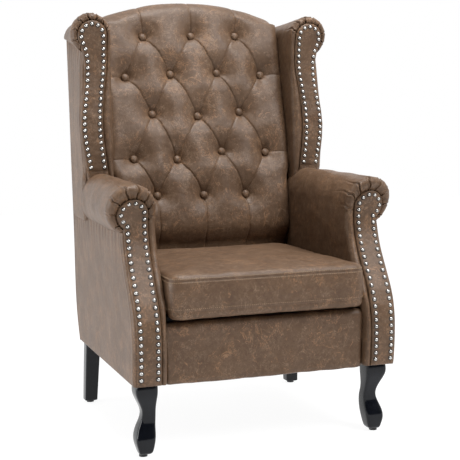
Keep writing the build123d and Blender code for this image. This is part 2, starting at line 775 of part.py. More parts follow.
def nail_spots(route, line):
    """Places for nails along a route seen from the front, square to the facing's surface."""
    count = round(route.length / nail_pitch)
    spots = []
    for index in range(count + 1):
        spot = route @ (index / count)
        y, slope = depth_at(line, spot.Y)
        normal = Vector(0, -1, slope).normalized()
        spots.append(Plane(Vector(spot.X, y, spot.Y) + normal * fit_gap, z_dir=normal).location)
    return spots


nail_foot_z = seat_frame_bottom + nail_first
ring = arm_head_radius - nail_inset
head_x = arm_facing_inner_x + arm_head_radius
outer_row = arm_facing_outer_x - nail_inset
ring_z = arm_head_z - sqrt(ring**2 - (outer_row - head_x)**2)
with BuildLine() as arm_nail_route:
    Line((outer_row, nail_foot_z), (outer_row, ring_z))
    ThreePointArc((outer_row, ring_z), (head_x + ring * sqrt(0.5), arm_head_z + ring * sqrt(0.5)),
                  (head_x - ring, arm_head_z))
    Line((head_x - ring, arm_head_z), (head_x - ring, nail_foot_z))

ring = wing_head_radius - nail_inset
wing_nail_z = wing_facing_bottom_z + nail_first
with BuildLine() as wing_nail_route:
    Spline((wing_facing_low_outer_x - nail_inset, wing_nail_z),
           (wing_facing_belly_outer_x - nail_inset, wing_facing_belly_z),
           (wing_facing_neck_outer_x - nail_inset, wing_facing_neck_z), (wing_head_x + ring, wing_head_z))
    ThreePointArc((wing_head_x + ring, wing_head_z), (wing_head_x, wing_head_z + ring),
                  (wing_head_x - ring, wing_head_z))
    Spline((wing_head_x - ring, wing_head_z), (wing_head_x - ring, wing_facing_neck_z),
           (wing_facing_belly_x + nail_inset, wing_facing_belly_z),
           (wing_facing_low_x + nail_inset, wing_nail_z))

with BuildPart() as arm_nails:
    with Locations(*nail_spots(arm_nail_route.wires()[0], arm_front(0))):
        Cone(nail_radius, nail_radius / 2, nail_height, align=(Align.CENTER, Align.CENTER, Align.MIN))

with BuildPart() as wing_nails:
    with Locations(*nail_spots(wing_nail_route.wires()[0], wing_front(0))):
        Cone(nail_radius, nail_radius / 2, nail_height, align=(Align.CENTER, Align.CENTER, Align.MIN))

pairs = {
    "arm_pad": arm_pad.part,
    "arm_facing": arm_facing.part,
    "arm_nails": arm_nails.part,
    "wing_pad": wing_pad_solid,
    "wing_facing": wing_facing.part,
    "wing_nails": wing_nails.part,
    "outside_arm": outside_arm.part,
    "outside_wing": outside_wing.part,
    "front_post": front_post.part,
    "back_post": back_post.part,
    "wing_post": wing_post.part,
    "arm_rail": arm_rail_solid,
    "wing_top_rail": wing_rail_solid,
    "side_rail": side_rail_solid,
    "back_slat": back_slat.part,
    "front_leg": front_leg.part,
    "rear_leg": rear_leg.part,
    "front_glide": front_glide.part,
    "rear_glide": rear_glide.part,
}
for name, piece in pairs.items():
    keep_pair(piece, name)

singles = {
    "seat_cushion": seat_cushion,
    "inside_back": inside_back,
    "back_buttons": back_buttons,
    "tufting_twines": tufting_twines,
    "back_hessian": back_hessian,
    "back_webbing": back_webbing,
    "outside_back": outside_back,
    "front_border": front_border,
    "seat_deck": seat_deck,
    "seat_springs": seat_springs,
    "spring_clips": spring_clips,
    "front_rail": front_rail,
    "rear_rail": rear_rail,
    "crest_rail": crest_rail,
    "corner_blocks": corner_blocks,
    "leg_bolts": leg_bolts,
    "threaded_inserts": threaded_inserts,
    "dust_cover": dust_cover_sheet,
}
for name, piece in singles.items():
    keep(piece.part, name)
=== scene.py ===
import json
import math

import bpy
import numpy as np
from bpy.props import FloatProperty, FloatVectorProperty, PointerProperty
from mathutils import Matrix, Vector


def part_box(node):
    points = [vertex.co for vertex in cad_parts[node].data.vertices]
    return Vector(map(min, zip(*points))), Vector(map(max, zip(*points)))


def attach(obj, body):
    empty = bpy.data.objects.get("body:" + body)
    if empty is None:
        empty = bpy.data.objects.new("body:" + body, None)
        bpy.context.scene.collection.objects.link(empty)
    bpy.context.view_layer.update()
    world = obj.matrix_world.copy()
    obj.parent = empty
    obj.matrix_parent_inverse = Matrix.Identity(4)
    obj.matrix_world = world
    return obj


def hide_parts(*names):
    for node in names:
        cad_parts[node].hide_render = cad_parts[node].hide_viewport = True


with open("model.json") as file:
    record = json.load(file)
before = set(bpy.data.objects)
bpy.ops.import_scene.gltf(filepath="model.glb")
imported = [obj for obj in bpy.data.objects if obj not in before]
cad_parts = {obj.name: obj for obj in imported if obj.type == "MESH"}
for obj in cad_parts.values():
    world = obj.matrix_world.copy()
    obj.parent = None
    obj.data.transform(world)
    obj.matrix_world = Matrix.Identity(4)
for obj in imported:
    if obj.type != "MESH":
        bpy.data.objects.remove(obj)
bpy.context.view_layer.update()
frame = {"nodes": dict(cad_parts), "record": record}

bl_info = {
    "name": "Tufted Wing Armchair",
    "version": (1, 0, 0),
    "blender": (4, 5, 0),
    "location": "View3D > Sidebar > Armchair",
    "description": "Dresses the packed armchair in aged leather, nailheads and black legs",
    "category": "Object",
}

mm = 0.001


def low(node):
    """The lowest corner of a node at rest."""
    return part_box(node)[0]


def high(node):
    """The highest corner of a node at rest."""
    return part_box(node)[1]


# Sizes read from the frame
floor_z = low("right_front_glide").z
frame_bottom_z = low("right_arm_facing").z
deck_top_z = high("seat_deck").z
border_front_y = low("front_border").y

arm_inner_x = low("right_arm_pad").x
arm_outer_x = high("right_arm_pad").x
arm_top_z = high("right_arm_pad").z
roll_radius = (arm_outer_x - arm_inner_x) / 2
roll_x = (arm_outer_x + arm_inner_x) / 2
roll_z = arm_top_z - roll_radius
arm_front_y = low("right_arm_facing").y
facing_inner_x = low("right_arm_facing").x
head_radius = (high("right_arm_facing").x - facing_inner_x) / 2
head_z = high("right_arm_facing").z - head_radius
head_x = facing_inner_x + head_radius

wing_inner_x = low("right_wing_pad").x
wing_outer_x = high("right_wing_pad").x
wing_top_z = high("right_wing_pad").z
wing_roll_radius = (wing_outer_x - wing_inner_x) / 2
wing_roll_x = (wing_outer_x + wing_inner_x) / 2
wing_roll_z = wing_top_z - wing_roll_radius
wing_front_y = low("right_wing_facing").y

side_front_x = high("right_outside_arm").x
side_rear_x = high("outside_back").x
wing_side_x = high("right_outside_wing").x
seam_z = low("right_outside_wing").z
crest_top_z = high("inside_back").z
crest_rear_y = high("inside_back").y

# Lines that the covers follow, as shares of the frame's sizes
arm_set_back = 95 * mm
arm_front_shares = ((0.07, 0), (0, 0.19), (0.16, 0.385), (0.62, 0.556), (0.96, 0.73), (0.98, 0.81), (0.64, 1))
wing_sway = 14 * mm
wing_front_shares = ((0, 0), (0, 0.29), (0.57, 0.5), (1, 0.69), (0.43, 0.89), (0, 1))

# The outside back's line seen from the side, as depth and height in millimetres
back_line_yz = (
    (245, 168), (262, 205), (276, 250), (285, 374), (287, 460),
    (291, 523), (300, 649), (307, 795), (316, 920), (320, 1005),
)


class ChairSizes(bpy.types.PropertyGroup):
    """Sizes of the soft work that a user would change."""

    pillow_rise: FloatProperty(name="Pillow rise", description="How far each diamond stands over its seams",
                               default=2.6 * mm, unit="LENGTH")
    crease_depth: FloatProperty(name="Crease depth", description="Depth of the folded lines between buttons",
                                default=2.8 * mm, unit="LENGTH")
    dimple_radius: FloatProperty(name="Dimple radius",
                                 description="How far round a button the cover is drawn in",
                                 default=44 * mm, unit="LENGTH")
    pleat_depth: FloatProperty(name="Pleat depth", description="Depth of the pleats round the rolls' fronts",
                               default=4.8 * mm, unit="LENGTH")
    button_radius: FloatProperty(name="Button radius", description="Radius of a covered button",
                                 default=10.5 * mm, unit="LENGTH")
    nail_radius: FloatProperty(name="Nail radius", description="Radius of a domed nailhead",
                               default=4.3 * mm, unit="LENGTH")
    nail_pitch: FloatProperty(name="Nail pitch", description="Distance from one nailhead to the next",
                              default=15.5 * mm, unit="LENGTH")
    creases: FloatProperty(name="Creases", description="Strength of the small creases in the leather",
                           default=1.0, min=0, max=3)


class ChairFinish(bpy.types.PropertyGroup):
    """Colours of the finishes, as linear values."""

    leather: FloatVectorProperty(name="Leather", description="Main brown of the hide", subtype="COLOR",
                                 size=3, default=(0.112, 0.065, 0.037))
    leather_dark: FloatVectorProperty(name="Dark leather", description="Brown in the folds and patches",
                                      subtype="COLOR", size=3, default=(0.068, 0.037, 0.020))
    leather_worn: FloatVectorProperty(name="Worn leather", description="Rubbed grey tan of raised places",
                                      subtype="COLOR", size=3, default=(0.225, 0.150, 0.098))
    leather_fleck: FloatVectorProperty(name="Flecks", description="Orange tan of the distressed finish",
                                       subtype="COLOR", size=3, default=(0.275, 0.150, 0.078))
    nail: FloatVectorProperty(name="Nailheads", description="Bright nickel", subtype="COLOR", size=3,
                              default=(0.62, 0.61, 0.59))
    leg: FloatVectorProperty(name="Legs", description="Black lacquer", subtype="COLOR", size=3,
                             default=(0.0045, 0.0055, 0.0085))


# Small mathematics for lines and grids
def smooth_line(points, value):
    """The first column of the natural cubic through points, read at a value of their second."""
    points = np.array(sorted(points, key=lambda point: point[1]), float)
    f, t = points[:, 0], points[:, 1]
    n = len(t)
    step = np.diff(t)
    matrix, right = np.eye(n), np.zeros(n)
    for i in range(1, n - 1):
        matrix[i, i - 1:i + 2] = step[i - 1], 2 * (step[i - 1] + step[i]), step[i]
        right[i] = 6 * ((f[i + 1] - f[i]) / step[i] - (f[i] - f[i - 1]) / step[i - 1])
    bend = np.linalg.solve(matrix, right)
    value = np.asarray(value, float)
    i = np.clip(np.searchsorted(t, value) - 1, 0, n - 2)
    h, a, b = step[i], t[i + 1] - value, value - t[i]
    cubic = (bend[i] * a ** 3 + bend[i + 1] * b ** 3) / (6 * h)
    return cubic + (f[i] / h - bend[i] * h / 6) * a + (f[i + 1] / h - bend[i + 1] * h / 6) * b


def arm_front(z):
    """Depth of the arm facing's front at a height."""
    height = arm_top_z - frame_bottom_z
    points = [(arm_front_y + back * arm_set_back, frame_bottom_z + up * height)
              for back, up in arm_front_shares]
    return smooth_line(points, z)


def wing_front(z):
    """Depth of the wing facing's front at a height."""
    height = wing_top_z - arm_top_z
    points = [(wing_front_y + back * wing_sway, arm_top_z + up * height) for back, up in wing_front_shares]
    return smooth_line(points, z)


def back_line(z):
    """Depth of the outside back at a height."""
    return smooth_line([(y * mm, height * mm) for y, height in back_line_yz], z)


def arc(centre, radius, start, end, count):
    """Points of an arc in degrees, in the plane of the chair's front."""
    turn = np.radians(np.linspace(start, end, count))
    return np.stack([centre[0] + radius * np.cos(turn), centre[1] + radius * np.sin(turn)], 1)


def lengths_along(points):
    """Distance of each point of a line from its first."""
    return np.r_[0, np.cumsum(np.linalg.norm(np.diff(points, axis=0), axis=1))]


def spread(points, count):
    """Points spaced evenly along a line."""
    points = np.asarray(points, float)
    run = lengths_along(points)
    at = np.linspace(0, 1, count) * run[-1]
    return np.stack([np.interp(at, run, points[:, i]) for i in range(points.shape[1])], 1)


def joined(*lines):
    """Lines end to end, without the doubled points."""
    points = np.concatenate([np.asarray(line, float) for line in lines])
    keep = np.r_[True, np.linalg.norm(np.diff(points, axis=0), axis=1) > 1e-6]
    return points[keep]


def softened(points, width, passes=1):
    """A line with its corners rounded over a width, its ends kept."""
    count = int(lengths_along(points)[-1] / mm) + 1
    line = spread(points, count)
    size = max(1, int(width / mm / 2))
    for _ in range(passes):
        padded = np.concatenate([2 * line[0] - line[size:0:-1], line, 2 * line[-1] - line[-2:-size - 2:-1]])
        total = np.cumsum(np.r_[np.zeros((1, line.shape[1])), padded], axis=0)
        line = (total[2 * size + 1:] - total[:-2 * size - 1]) / (2 * size + 1)
    return line


def ease(value, start, end):
    """A smooth step from 0 at start to 1 at end."""
    t = np.clip((value - start) / (end - start), 0, 1)
    return t * t * (3 - 2 * t)


def rounded(distance, reach):
    """A quarter round from 0 at an edge to 1 at a reach inside it."""
    return np.sqrt(1 - (1 - np.clip(distance / reach, 0, 1)) ** 2)


def hills(points, scale, seed, octaves=3):
    """Smooth repeatable unevenness between about -1 and 1, from sums of turned waves."""
    random = np.random.default_rng(seed)
    waves, octave_share, wave_weight = 5, 0.55, 0.45
    warp_strength, warp_rate = 0.9, 2.2
    total = np.zeros(points.shape[:-1])
    weight = 0.0
    for octave in range(octaves):
        size = scale / 2 ** octave
        strength = octave_share ** octave
        for _ in range(waves):
            direction = random.normal(size=3)
            direction /= np.linalg.norm(direction)
            bend = random.normal(size=3)
            bend /= np.linalg.norm(bend)
            phase = random.uniform(0, 2 * math.pi, 2)
            warp = warp_strength * np.sin(points @ bend * (warp_rate / size) + phase[1])
            total += strength * np.sin(points @ direction * (2 * math.pi / size) + phase[0] + warp)
            weight += strength * wave_weight
    return total / weight


def normals_of(points):
    """Unit normals of a grid of points, from its two directions."""
    across = np.gradient(points, axis=1)
    along = np.gradient(points, axis=0)
    normal = np.cross(across, along)
    return normal / np.maximum(np.linalg.norm(normal, axis=2, keepdims=True), 1e-9)


# Meshes
def new_object(name, vertices, faces, material):
    """A smooth mesh object from points and faces, with one material."""
    mesh = bpy.data.meshes.new(name)
    mesh.from_pydata([tuple(v) for v in vertices], [], [tuple(f) for f in faces])
    mesh.update()
    mesh.validate()
    piece = bpy.data.objects.new(name, mesh)
    bpy.context.scene.collection.objects.link(piece)
    mesh.materials.append(material)
    mesh.polygons.foreach_set("use_smooth", [True] * len(mesh.polygons))
    return piece


def grid_faces(rows, columns, start=0, wrap=False):
    """Quads of a grid, with the last column joined to the first if it wraps."""
    across = columns if wrap else columns - 1
    i, j = np.meshgrid(np.arange(rows - 1), np.arange(across), indexing="ij")
    k = (j + 1) % columns
    quads = np.stack([i * columns + j, i * columns + k, (i + 1) * columns + k, (i + 1) * columns + j], -1)
    return (quads.reshape(-1, 4) + start).tolist()


def padded_slab(name, front, back, material, flip=False):
    """A closed piece between a front grid and a back grid of the same size."""
    rows, columns = front.shape[:2]
    size = rows * columns
    last = (rows - 1) * columns
    faces = grid_faces(rows, columns)
    faces += [face[::-1] for face in grid_faces(rows, columns, size)]
    edge = list(range(columns))
    edge += [i * columns + columns - 1 for i in range(1, rows)]
    edge += [last + j for j in range(columns - 2, -1, -1)]
    edge += [i * columns for i in range(rows - 2, 0, -1)]
    for a, b in zip(edge, edge[1:] + edge[:1]):
        faces.append([b, a, a + size, b + size])
    if flip:
        faces = [face[::-1] for face in faces]
    return new_object(name, np.concatenate([front.reshape(-1, 3), back.reshape(-1, 3)]), faces, material)


def lined_slab(name, front, depth, material):
    """A closed piece with a fine front and a plain lining across its back, joined along its edges."""
    rows, columns = front.shape[:2]
    size = rows * columns
    lining = np.stack([front[:, 0] + depth[:, 0], front[:, -1] + depth[:, 1]], 1).reshape(-1, 3)
    faces = grid_faces(rows, columns)
    for i in range(rows - 1):
        a = size + 2 * i
        b, c, d = a + 1, a + 3, a + 2
        faces += [[d, c, b, a], [i * columns, (i + 1) * columns, d, a],
                  [(i + 1) * columns - 1, b, c, (i + 2) * columns - 1]]
    faces.append([size + 1] + list(range(columns - 1, -1, -1)) + [size])
    last = (rows - 1) * columns
    faces.append([last + j for j in range(columns)] + [size + 2 * rows - 1, size + 2 * rows - 2])
    return new_object(name, np.concatenate([front.reshape(-1, 3), lining]), faces, material)


def add_dome(vertices, faces, place, outward, top, outline, foot, around):
    """Adds a closed dome to a mesh in the making, from its top down an outline of reach and rise."""
    turn = outward.to_track_quat("Z", "Y").to_matrix()
    start, rings = len(vertices), len(outline)
    vertices.append(place + turn @ Vector((0, 0, top)))
    for reach, rise in outline:
        for step in range(around):
            angle = 2 * math.pi * step / around
            vertices.append(place + turn @ Vector((reach * math.cos(angle), reach * math.sin(angle), rise)))
    middle = len(vertices)
    vertices.append(place - turn @ Vector((0, 0, foot)))
    last = start + 1 + (rings - 1) * around
    for step in range(around):
        k = (step + 1) % around
        faces.append([start, start + 1 + step, start + 1 + k])
        for ring in range(rings - 1):
            a, b = start + 1 + ring * around, start + 1 + (ring + 1) * around
            faces.append([a + step, b + step, b + k, a + k])
        faces.append([last + step, middle, last + k])


def seat_piece(piece, nodes, body="root"):
    """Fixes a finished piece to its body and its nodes."""
    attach(piece, body)
    if nodes:
        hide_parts(*nodes)


def both_sides(name, front, back):
    """A right-hand leather cover and its mirror image, each in the place of its own node."""
    finish = bpy.data.materials["aged leather"]
    for side, turn in (("right", 1), ("left", -1)):
        mirror = np.array([turn, 1, 1])
        piece = padded_slab(f"{side}_{name}_cover", front * mirror, back * mirror, finish, flip=turn < 0)
        seat_piece(piece, [f"{side}_{name}"])


# Materials, all procedural
def grey(value):
    """One grey as a colour."""
    return (value, value, value)


def principled(name, colour, roughness, metallic=0.0, gloss=0.5):
    """A new material with its nodes, links and main shader."""
    material = bpy.data.materials.new(name)
    material.use_nodes = True
    nodes, links = material.node_tree.nodes, material.node_tree.links
    shader = nodes["Principled BSDF"]
    shader.inputs["Base Color"].default_value = (*colour, 1)
    shader.inputs["Roughness"].default_value = roughness
    shader.inputs["Metallic"].default_value = metallic
    shader.inputs["Specular IOR Level"].default_value = gloss
    material.diffuse_color = (*colour, 1)
    return material, nodes, links, shader


def mapped(nodes, links, where, scale, location=(0, 0, 0), rotation=(0, 0, 0)):
    """Object space, moved, turned and stretched."""
    node = nodes.new("ShaderNodeMapping")
    node.inputs["Location"].default_value = location
    node.inputs["Rotation"].default_value = rotation
    node.inputs["Scale"].default_value = scale
    links.new(where, node.inputs["Vector"])
    return node.outputs["Vector"]


def noise(nodes, links, where, scale, detail=4.0, roughness=0.55, distortion=0.0):
    """The value of a noise texture read at a place."""
    node = nodes.new("ShaderNodeTexNoise")
    node.inputs["Scale"].default_value = scale
    node.inputs["Detail"].default_value = detail
    node.inputs["Roughness"].default_value = roughness
    node.inputs["Distortion"].default_value = distortion
    links.new(where, node.inputs["Vector"])
    return node.outputs["Fac"]


def ramp(nodes, links, value, stops):
    """A colour read from stops by a value."""
    node = nodes.new("ShaderNodeValToRGB")
    elements = node.color_ramp.elements
    while len(elements) < len(stops):
        elements.new(0.5)
    for element, (place, colour) in zip(elements, stops):
        element.position = place
        element.color = (*colour, 1)
    links.new(value, node.inputs["Fac"])
    return node.outputs["Color"]


def mix_colour(nodes, links, share, first, second, blend="MIX"):
    """A mixed colour, from sockets or constant values."""
    node = nodes.new("ShaderNodeMix")
    node.data_type = "RGBA"
    node.blend_type = blend
    for name, value in (("Factor_Float", share), ("A_Color", first), ("B_Color", second)):
        socket = next(item for item in node.inputs if item.identifier == name)
        if isinstance(value, bpy.types.NodeSocket):
            links.new(value, socket)
        elif isinstance(value, (int, float)):
            socket.default_value = value
        else:
            socket.default_value = (*value, 1)
    return next(item for item in node.outputs if item.identifier == "Result_Color")


def arithmetic(nodes, links, operation, value, *others):
    """The result of a sum on a socket and other sockets or numbers."""
    node = nodes.new("ShaderNodeMath")
    node.operation = operation
    links.new(value, node.inputs[0])
    for place, other in enumerate(others, 1):
        if isinstance(other, bpy.types.NodeSocket):
            links.new(other, node.inputs[place])
        else:
            node.inputs[place].default_value = other
    return node.outputs["Value"]


def bumps(nodes, links, shader, heights):
    """A chain of bumps from heights, each with its strength and depth in metres."""
    last = None
    for height, strength, depth in heights:
        node = nodes.new("ShaderNodeBump")
        node.inputs["Strength"].default_value = strength
        node.inputs["Distance"].default_value = depth
        links.new(height, node.inputs["Height"])
        if last:
            links.new(last, node.inputs["Normal"])
        last = node.outputs["Normal"]
    links.new(last, shader.inputs["Normal"])


def scratches(nodes, links, where, scale, seed, width):
    """Short feathery strokes: narrow bands of a noise, broken up by another."""
    place = (seed, seed * 0.7, -seed)
    turn = (seed * 0.9, seed * 1.3, seed * 0.4)
    stretched = mapped(nodes, links, where, (1, 2.2, 0.8), place, turn)
    lines = noise(nodes, links, stretched, scale, 5.0, 0.74, 0.8)
    inner, outer = 0.4 * width, 2 * width
    band = ramp(nodes, links, lines, [(0.5 - outer, grey(0)), (0.5 - inner, grey(1)),
                                      (0.5 + inner, grey(1)), (0.5 + outer, grey(0))])
    gaps = ramp(nodes, links, noise(nodes, links, where, scale * 0.8, 4.0, 0.7, 0.5),
                [(0.50, grey(0)), (0.57, grey(1))])
    return mix_colour(nodes, links, 1.0, band, gaps, "MULTIPLY")


def leather_material(name="aged leather"):
    """Distressed brown hide: cloudy colour, tan strokes and flecks, and a pebbled grain."""
    finish = bpy.context.scene.chair_finish
    leather, dark = tuple(finish.leather), tuple(finish.leather_dark)
    worn, fleck = tuple(finish.leather_worn), tuple(finish.leather_fleck)
    _, nodes, links, shader = principled(name, finish.leather, 0.44, gloss=0.30)
    where = nodes.new("ShaderNodeTexCoord").outputs["Object"]
    clouds = noise(nodes, links, where, 15, 8.0, 0.70, 0.5)
    clouds = ramp(nodes, links, clouds, [(0.30, grey(0.15)), (0.70, grey(1))])
    colour = mix_colour(nodes, links, clouds, dark, leather)
    mottle = noise(nodes, links, where, 70, 6.0, 0.72, 0.6)
    mottle = ramp(nodes, links, mottle, [(0.46, grey(0)), (0.74, grey(0.30))])
    colour = mix_colour(nodes, links, mottle, colour, worn)
    # Each set of strokes has its scale, its seed, its width, its strength and its tint
    for scale, seed, width, strength, tint in (
            (17, 1.7, 0.008, 0.66, fleck), (24, 4.1, 0.008, 0.56, worn),
            (21, 7.3, 0.007, 0.56, worn), (28, 9.9, 0.008, 0.66, fleck)):
        strokes = scratches(nodes, links, where, scale, seed, width)
        strokes = mix_colour(nodes, links, 1.0, strokes, grey(strength), "MULTIPLY")
        colour = mix_colour(nodes, links, strokes, colour, tint)
    flecks = noise(nodes, links, where, 120, 4.0, 0.7, 1.2)
    flecks = ramp(nodes, links, flecks, [(0.65, grey(0)), (0.76, grey(0.28))])
    colour = mix_colour(nodes, links, flecks, colour, fleck)
    specks = noise(nodes, links, where, 330, 3.0, 0.6, 0.6)
    specks = ramp(nodes, links, specks, [(0.34, grey(0.5)), (0.48, grey(0))])
    colour = mix_colour(nodes, links, specks, colour, dark)
    links.new(colour, shader.inputs["Base Color"])
    sheen = ramp(nodes, links, mottle, [(0.0, grey(0.43)), (0.6, grey(0.52))])
    links.new(sheen, shader.inputs["Roughness"])
    pebbles = nodes.new("ShaderNodeTexVoronoi")
    pebbles.inputs["Scale"].default_value = 700
    links.new(where, pebbles.inputs["Vector"])
    wrinkles = noise(nodes, links, where, 110, 6.0, 0.7, 0.8)
    swell = noise(nodes, links, where, 22, 4.0, 0.6, 0.4)
    bumps(nodes, links, shader, [(pebbles.outputs["Distance"], 0.30, 0.5 * mm), (wrinkles, 0.30, 0.9 * mm),
                                 (swell, 0.25, 4 * mm)])


def plain_material(name, dark, light, roughness, scale, metallic=0.0, gloss=0.5, bump=0.15, depth=0.4 * mm,
                   stretch=None):
    """A material with gently varied colour and a fine bump, stretched along one direction if wanted."""
    material, nodes, links, shader = principled(name, light, roughness, metallic, gloss)
    where = nodes.new("ShaderNodeTexCoord").outputs["Object"]
    if stretch:
        where = mapped(nodes, links, where, stretch)
    grain = noise(nodes, links, where, scale, 5.0, 0.6)
    links.new(ramp(nodes, links, grain, [(0.35, dark), (0.65, light)]), shader.inputs["Base Color"])
    smoother, rougher = roughness * 0.85, min(1, roughness * 1.15)
    sheen = ramp(nodes, links, grain, [(0.3, grey(smoother)), (0.7, grey(rougher))])
    links.new(sheen, shader.inputs["Roughness"])
    bumps(nodes, links, shader, [(grain, bump, depth)])
    return material


def woven_material(name, dark, light, pitch):
    """Crossed threads of a plain cloth."""
    material, nodes, links, shader = principled(name, light, 0.9)
    where = nodes.new("ShaderNodeTexCoord").outputs["Object"]
    heights = []
    for axis in ("X", "Z", "Y"):
        wave = nodes.new("ShaderNodeTexWave")
        wave.bands_direction = axis
        wave.inputs["Scale"].default_value = 1 / pitch / 6
        wave.inputs["Distortion"].default_value = 0.6
        wave.inputs["Detail"].default_value = 2
        links.new(where, wave.inputs["Vector"])
        heights.append(wave.outputs["Fac"])
    crossed = mix_colour(nodes, links, 0.5, heights[0], heights[1])
    threads = mix_colour(nodes, links, 0.35, crossed, heights[2])
    links.new(ramp(nodes, links, threads, [(0.25, dark), (0.75, light)]), shader.inputs["Base Color"])
    bumps(nodes, links, shader, [(threads, 0.5, 0.6 * mm)])
    return material


def make_finishes():
    """The shared finishes, made before the pieces that use them."""
    finish = bpy.context.scene.chair_finish
    nail, leg = tuple(finish.nail), tuple(finish.leg)
    leather_material()
    plain_material("bright nickel", tuple(0.80 * c for c in nail), nail, 0.10, 160, metallic=1.0, bump=0.02)
    # Nearly black: painted contact shadow for the rings under the nailheads
    plain_material("painted nail shadow", (0.010, 0.007, 0.005), (0.026, 0.018, 0.012), 0.5, 300)
    plain_material("black lacquer", tuple(0.6 * c for c in leg), leg, 0.15, 22, gloss=0.30, bump=0.10,
                   depth=1.2 * mm, stretch=(1, 1, 0.2))
    # One black cloth: the dust cover's own colour, and painted shade where it lines the seat deck
    woven_material("black cambric", (0.006, 0.006, 0.007), (0.016, 0.016, 0.018), 0.9 * mm)
    plain_material("tan thread", (0.17, 0.11, 0.06), (0.30, 0.20, 0.115), 0.7, 500)


# Nails and the rings of painted contact shadow round them
def facing_spot(front_at, x, z):
    """A point on the front of a facing, with the direction that it faces."""
    place = Vector((x, float(front_at(z)), z))
    up = Vector((x, float(front_at(z + mm)), z + mm)) - place
    return place, Vector((mm, 0, 0)).cross(up).normalized()


def nail_row(name, route, front_at, node):
    """Domed nails spaced along a route seen from the front, each ringed with painted contact shadow."""
    sizes = bpy.context.scene.chair_sizes
    radius, rise = sizes.nail_radius, 0.88 * sizes.nail_radius
    rings, around = 6, 16
    tilt = 0.03
    spots = spread(route, int(round(lengths_along(route)[-1] / sizes.nail_pitch)) + 1)
    angles = [ring / rings * math.pi / 2 for ring in range(1, rings + 1)]
    outline = [(radius * math.sin(angle), rise * math.cos(angle)) for angle in angles]
    outline[-1] = (radius, -0.6 * mm)
    random = np.random.default_rng(7)
    vertices, faces = [], []
    for x, z in spots:
        place, outward = facing_spot(front_at, x, z)
        outward = outward + Vector(random.normal(scale=tilt, size=3))
        add_dome(vertices, faces, place, outward, rise, outline, 1.6 * mm, around)
    piece = new_object(name + "_nail_heads", vertices, faces, bpy.data.materials["bright nickel"])
    seat_piece(piece, [node])
    nail_shadow_rings(name + "_nail_shadow_rings", spots, front_at)


def nail_shadow_rings(name, spots, front_at):
    """Dark rings round the nailheads: painted contact shadow, as thin discs on which the heads sit."""
    radius = 1.40 * bpy.context.scene.chair_sizes.nail_radius
    around = 18
    # Level by level from behind, each as a rise and a share of the radius
    levels = ((-1.0 * mm, 0.9), (0.1 * mm, 1), (0.55 * mm, 0.85))
    vertices, faces = [], []
    for x, z in spots:
        place, outward = facing_spot(front_at, x, z)
        turn = outward.to_track_quat("Z", "Y").to_matrix()
        start = len(vertices)
        for rise, share in levels:
            reach = radius * share
            for step in range(around):
                angle = 2 * math.pi * step / around
                rim = Vector((reach * math.cos(angle), reach * math.sin(angle), rise))
                vertices.append(place + turn @ rim)
        for ring in (start, start + around):
            for step in range(around):
                k = (step + 1) % around
                faces.append([ring + step, ring + k, ring + around + k, ring + around + step])
        faces.append([start + step for step in range(around)][::-1])
        faces.append([start + 2 * around + step for step in range(around)])
    # Each ring is painted contact shadow round a nailhead
    piece = new_object(name, vertices, faces, bpy.data.materials["painted nail shadow"])
    seat_piece(piece, [])


# The inside back: its line seen from the side
lean = math.radians(13)
slope = math.tan(lean)
pad_front_y, pad_front_z = 107 * mm, 548 * mm
row_rise, column = 104 * mm, 61 * mm
crest_roll = 50 * mm
crest_y = crest_rear_y - crest_roll
arch_radius = 667 * mm
arch_z = crest_top_z - arch_radius
arch_low_z, arch_high_z = 985 * mm, 1044 * mm
back_half = wing_inner_x
foot_y = 126.5 * mm
tuck_line = ((foot_y, deck_top_z + 1.5 * mm), (foot_y, 420 * mm), (112 * mm, 437 * mm), (102 * mm, 456 * mm))
lumbar_bend = ((100.5 * mm, 472 * mm), (103.7 * mm, 533.7 * mm), (123.6 * mm, 620 * mm))
plane_heights = (640 * mm, 700 * mm, 860 * mm, 950 * mm)


def back_profile():
    """The middle line of the inside back, from its foot over the crest, as depth and height."""
    start, middle, end = np.array(lumbar_bend)
    t = np.linspace(0, 1, 12)[:, None]
    lumbar = start * (1 - t) ** 2 + 2 * middle * t * (1 - t) + end * t ** 2
    plane = [(pad_front_y + (z - pad_front_z) * slope, z) for z in plane_heights]
    roll = arc((crest_y, crest_top_z - crest_roll), crest_roll, 160, -40, 40)
    return softened(joined(tuck_line, lumbar, plane, roll), 16 * mm, 2)


profile = back_profile()
profile_run = lengths_along(profile)
profile_top = int(np.argmax(profile[:, 1]))
crest_run = profile_run[profile_top]
profile_normal = np.gradient(profile, axis=0)
profile_normal = np.stack([-profile_normal[:, 1], profile_normal[:, 0]], 1)
profile_normal /= np.linalg.norm(profile_normal, axis=1, keepdims=True)


def run_at(z):
    """Distance along the back's line at a height on its front."""
    return np.interp(z, profile[:profile_top, 1], profile_run[:profile_top])


def back_base(x, run):
    """A point of the back's outline, with its outward normal, at a place across and a distance along."""
    y, z = np.interp(run, profile_run, profile[:, 0]), np.interp(run, profile_run, profile[:, 1])
    ny = np.interp(run, profile_run, profile_normal[:, 0])
    nz = np.interp(run, profile_run, profile_normal[:, 1])
    above = np.maximum(z - arch_z, 0.3)
    arch = arch_z + np.sqrt(np.maximum(above ** 2 - x ** 2, 0.01))
    share = np.where(run > crest_run, 1, ease(z, arch_low_z, arch_high_z))
    normal = np.stack([share * x / above * nz, ny, nz], -1)
    point = np.stack([x, y, z - share * (z - arch)], -1)
    return point, normal / np.linalg.norm(normal, axis=-1, keepdims=True)


# How far each button was tied from its place in the pattern, across and up, row by row from the lowest
button_wander = (
    ((-3, 3), (0, 1), (-7, 0)),
    ((3, -6), (-4, -9), (-3, 9), (-3, 4)),
    ((0, 3), (0, -3), (-6, 7)),
    ((-3, -6), (-4, 2), (2, 5), (2, 0)),
    ((-9, -4), (0, 0), (1, 1)),
)


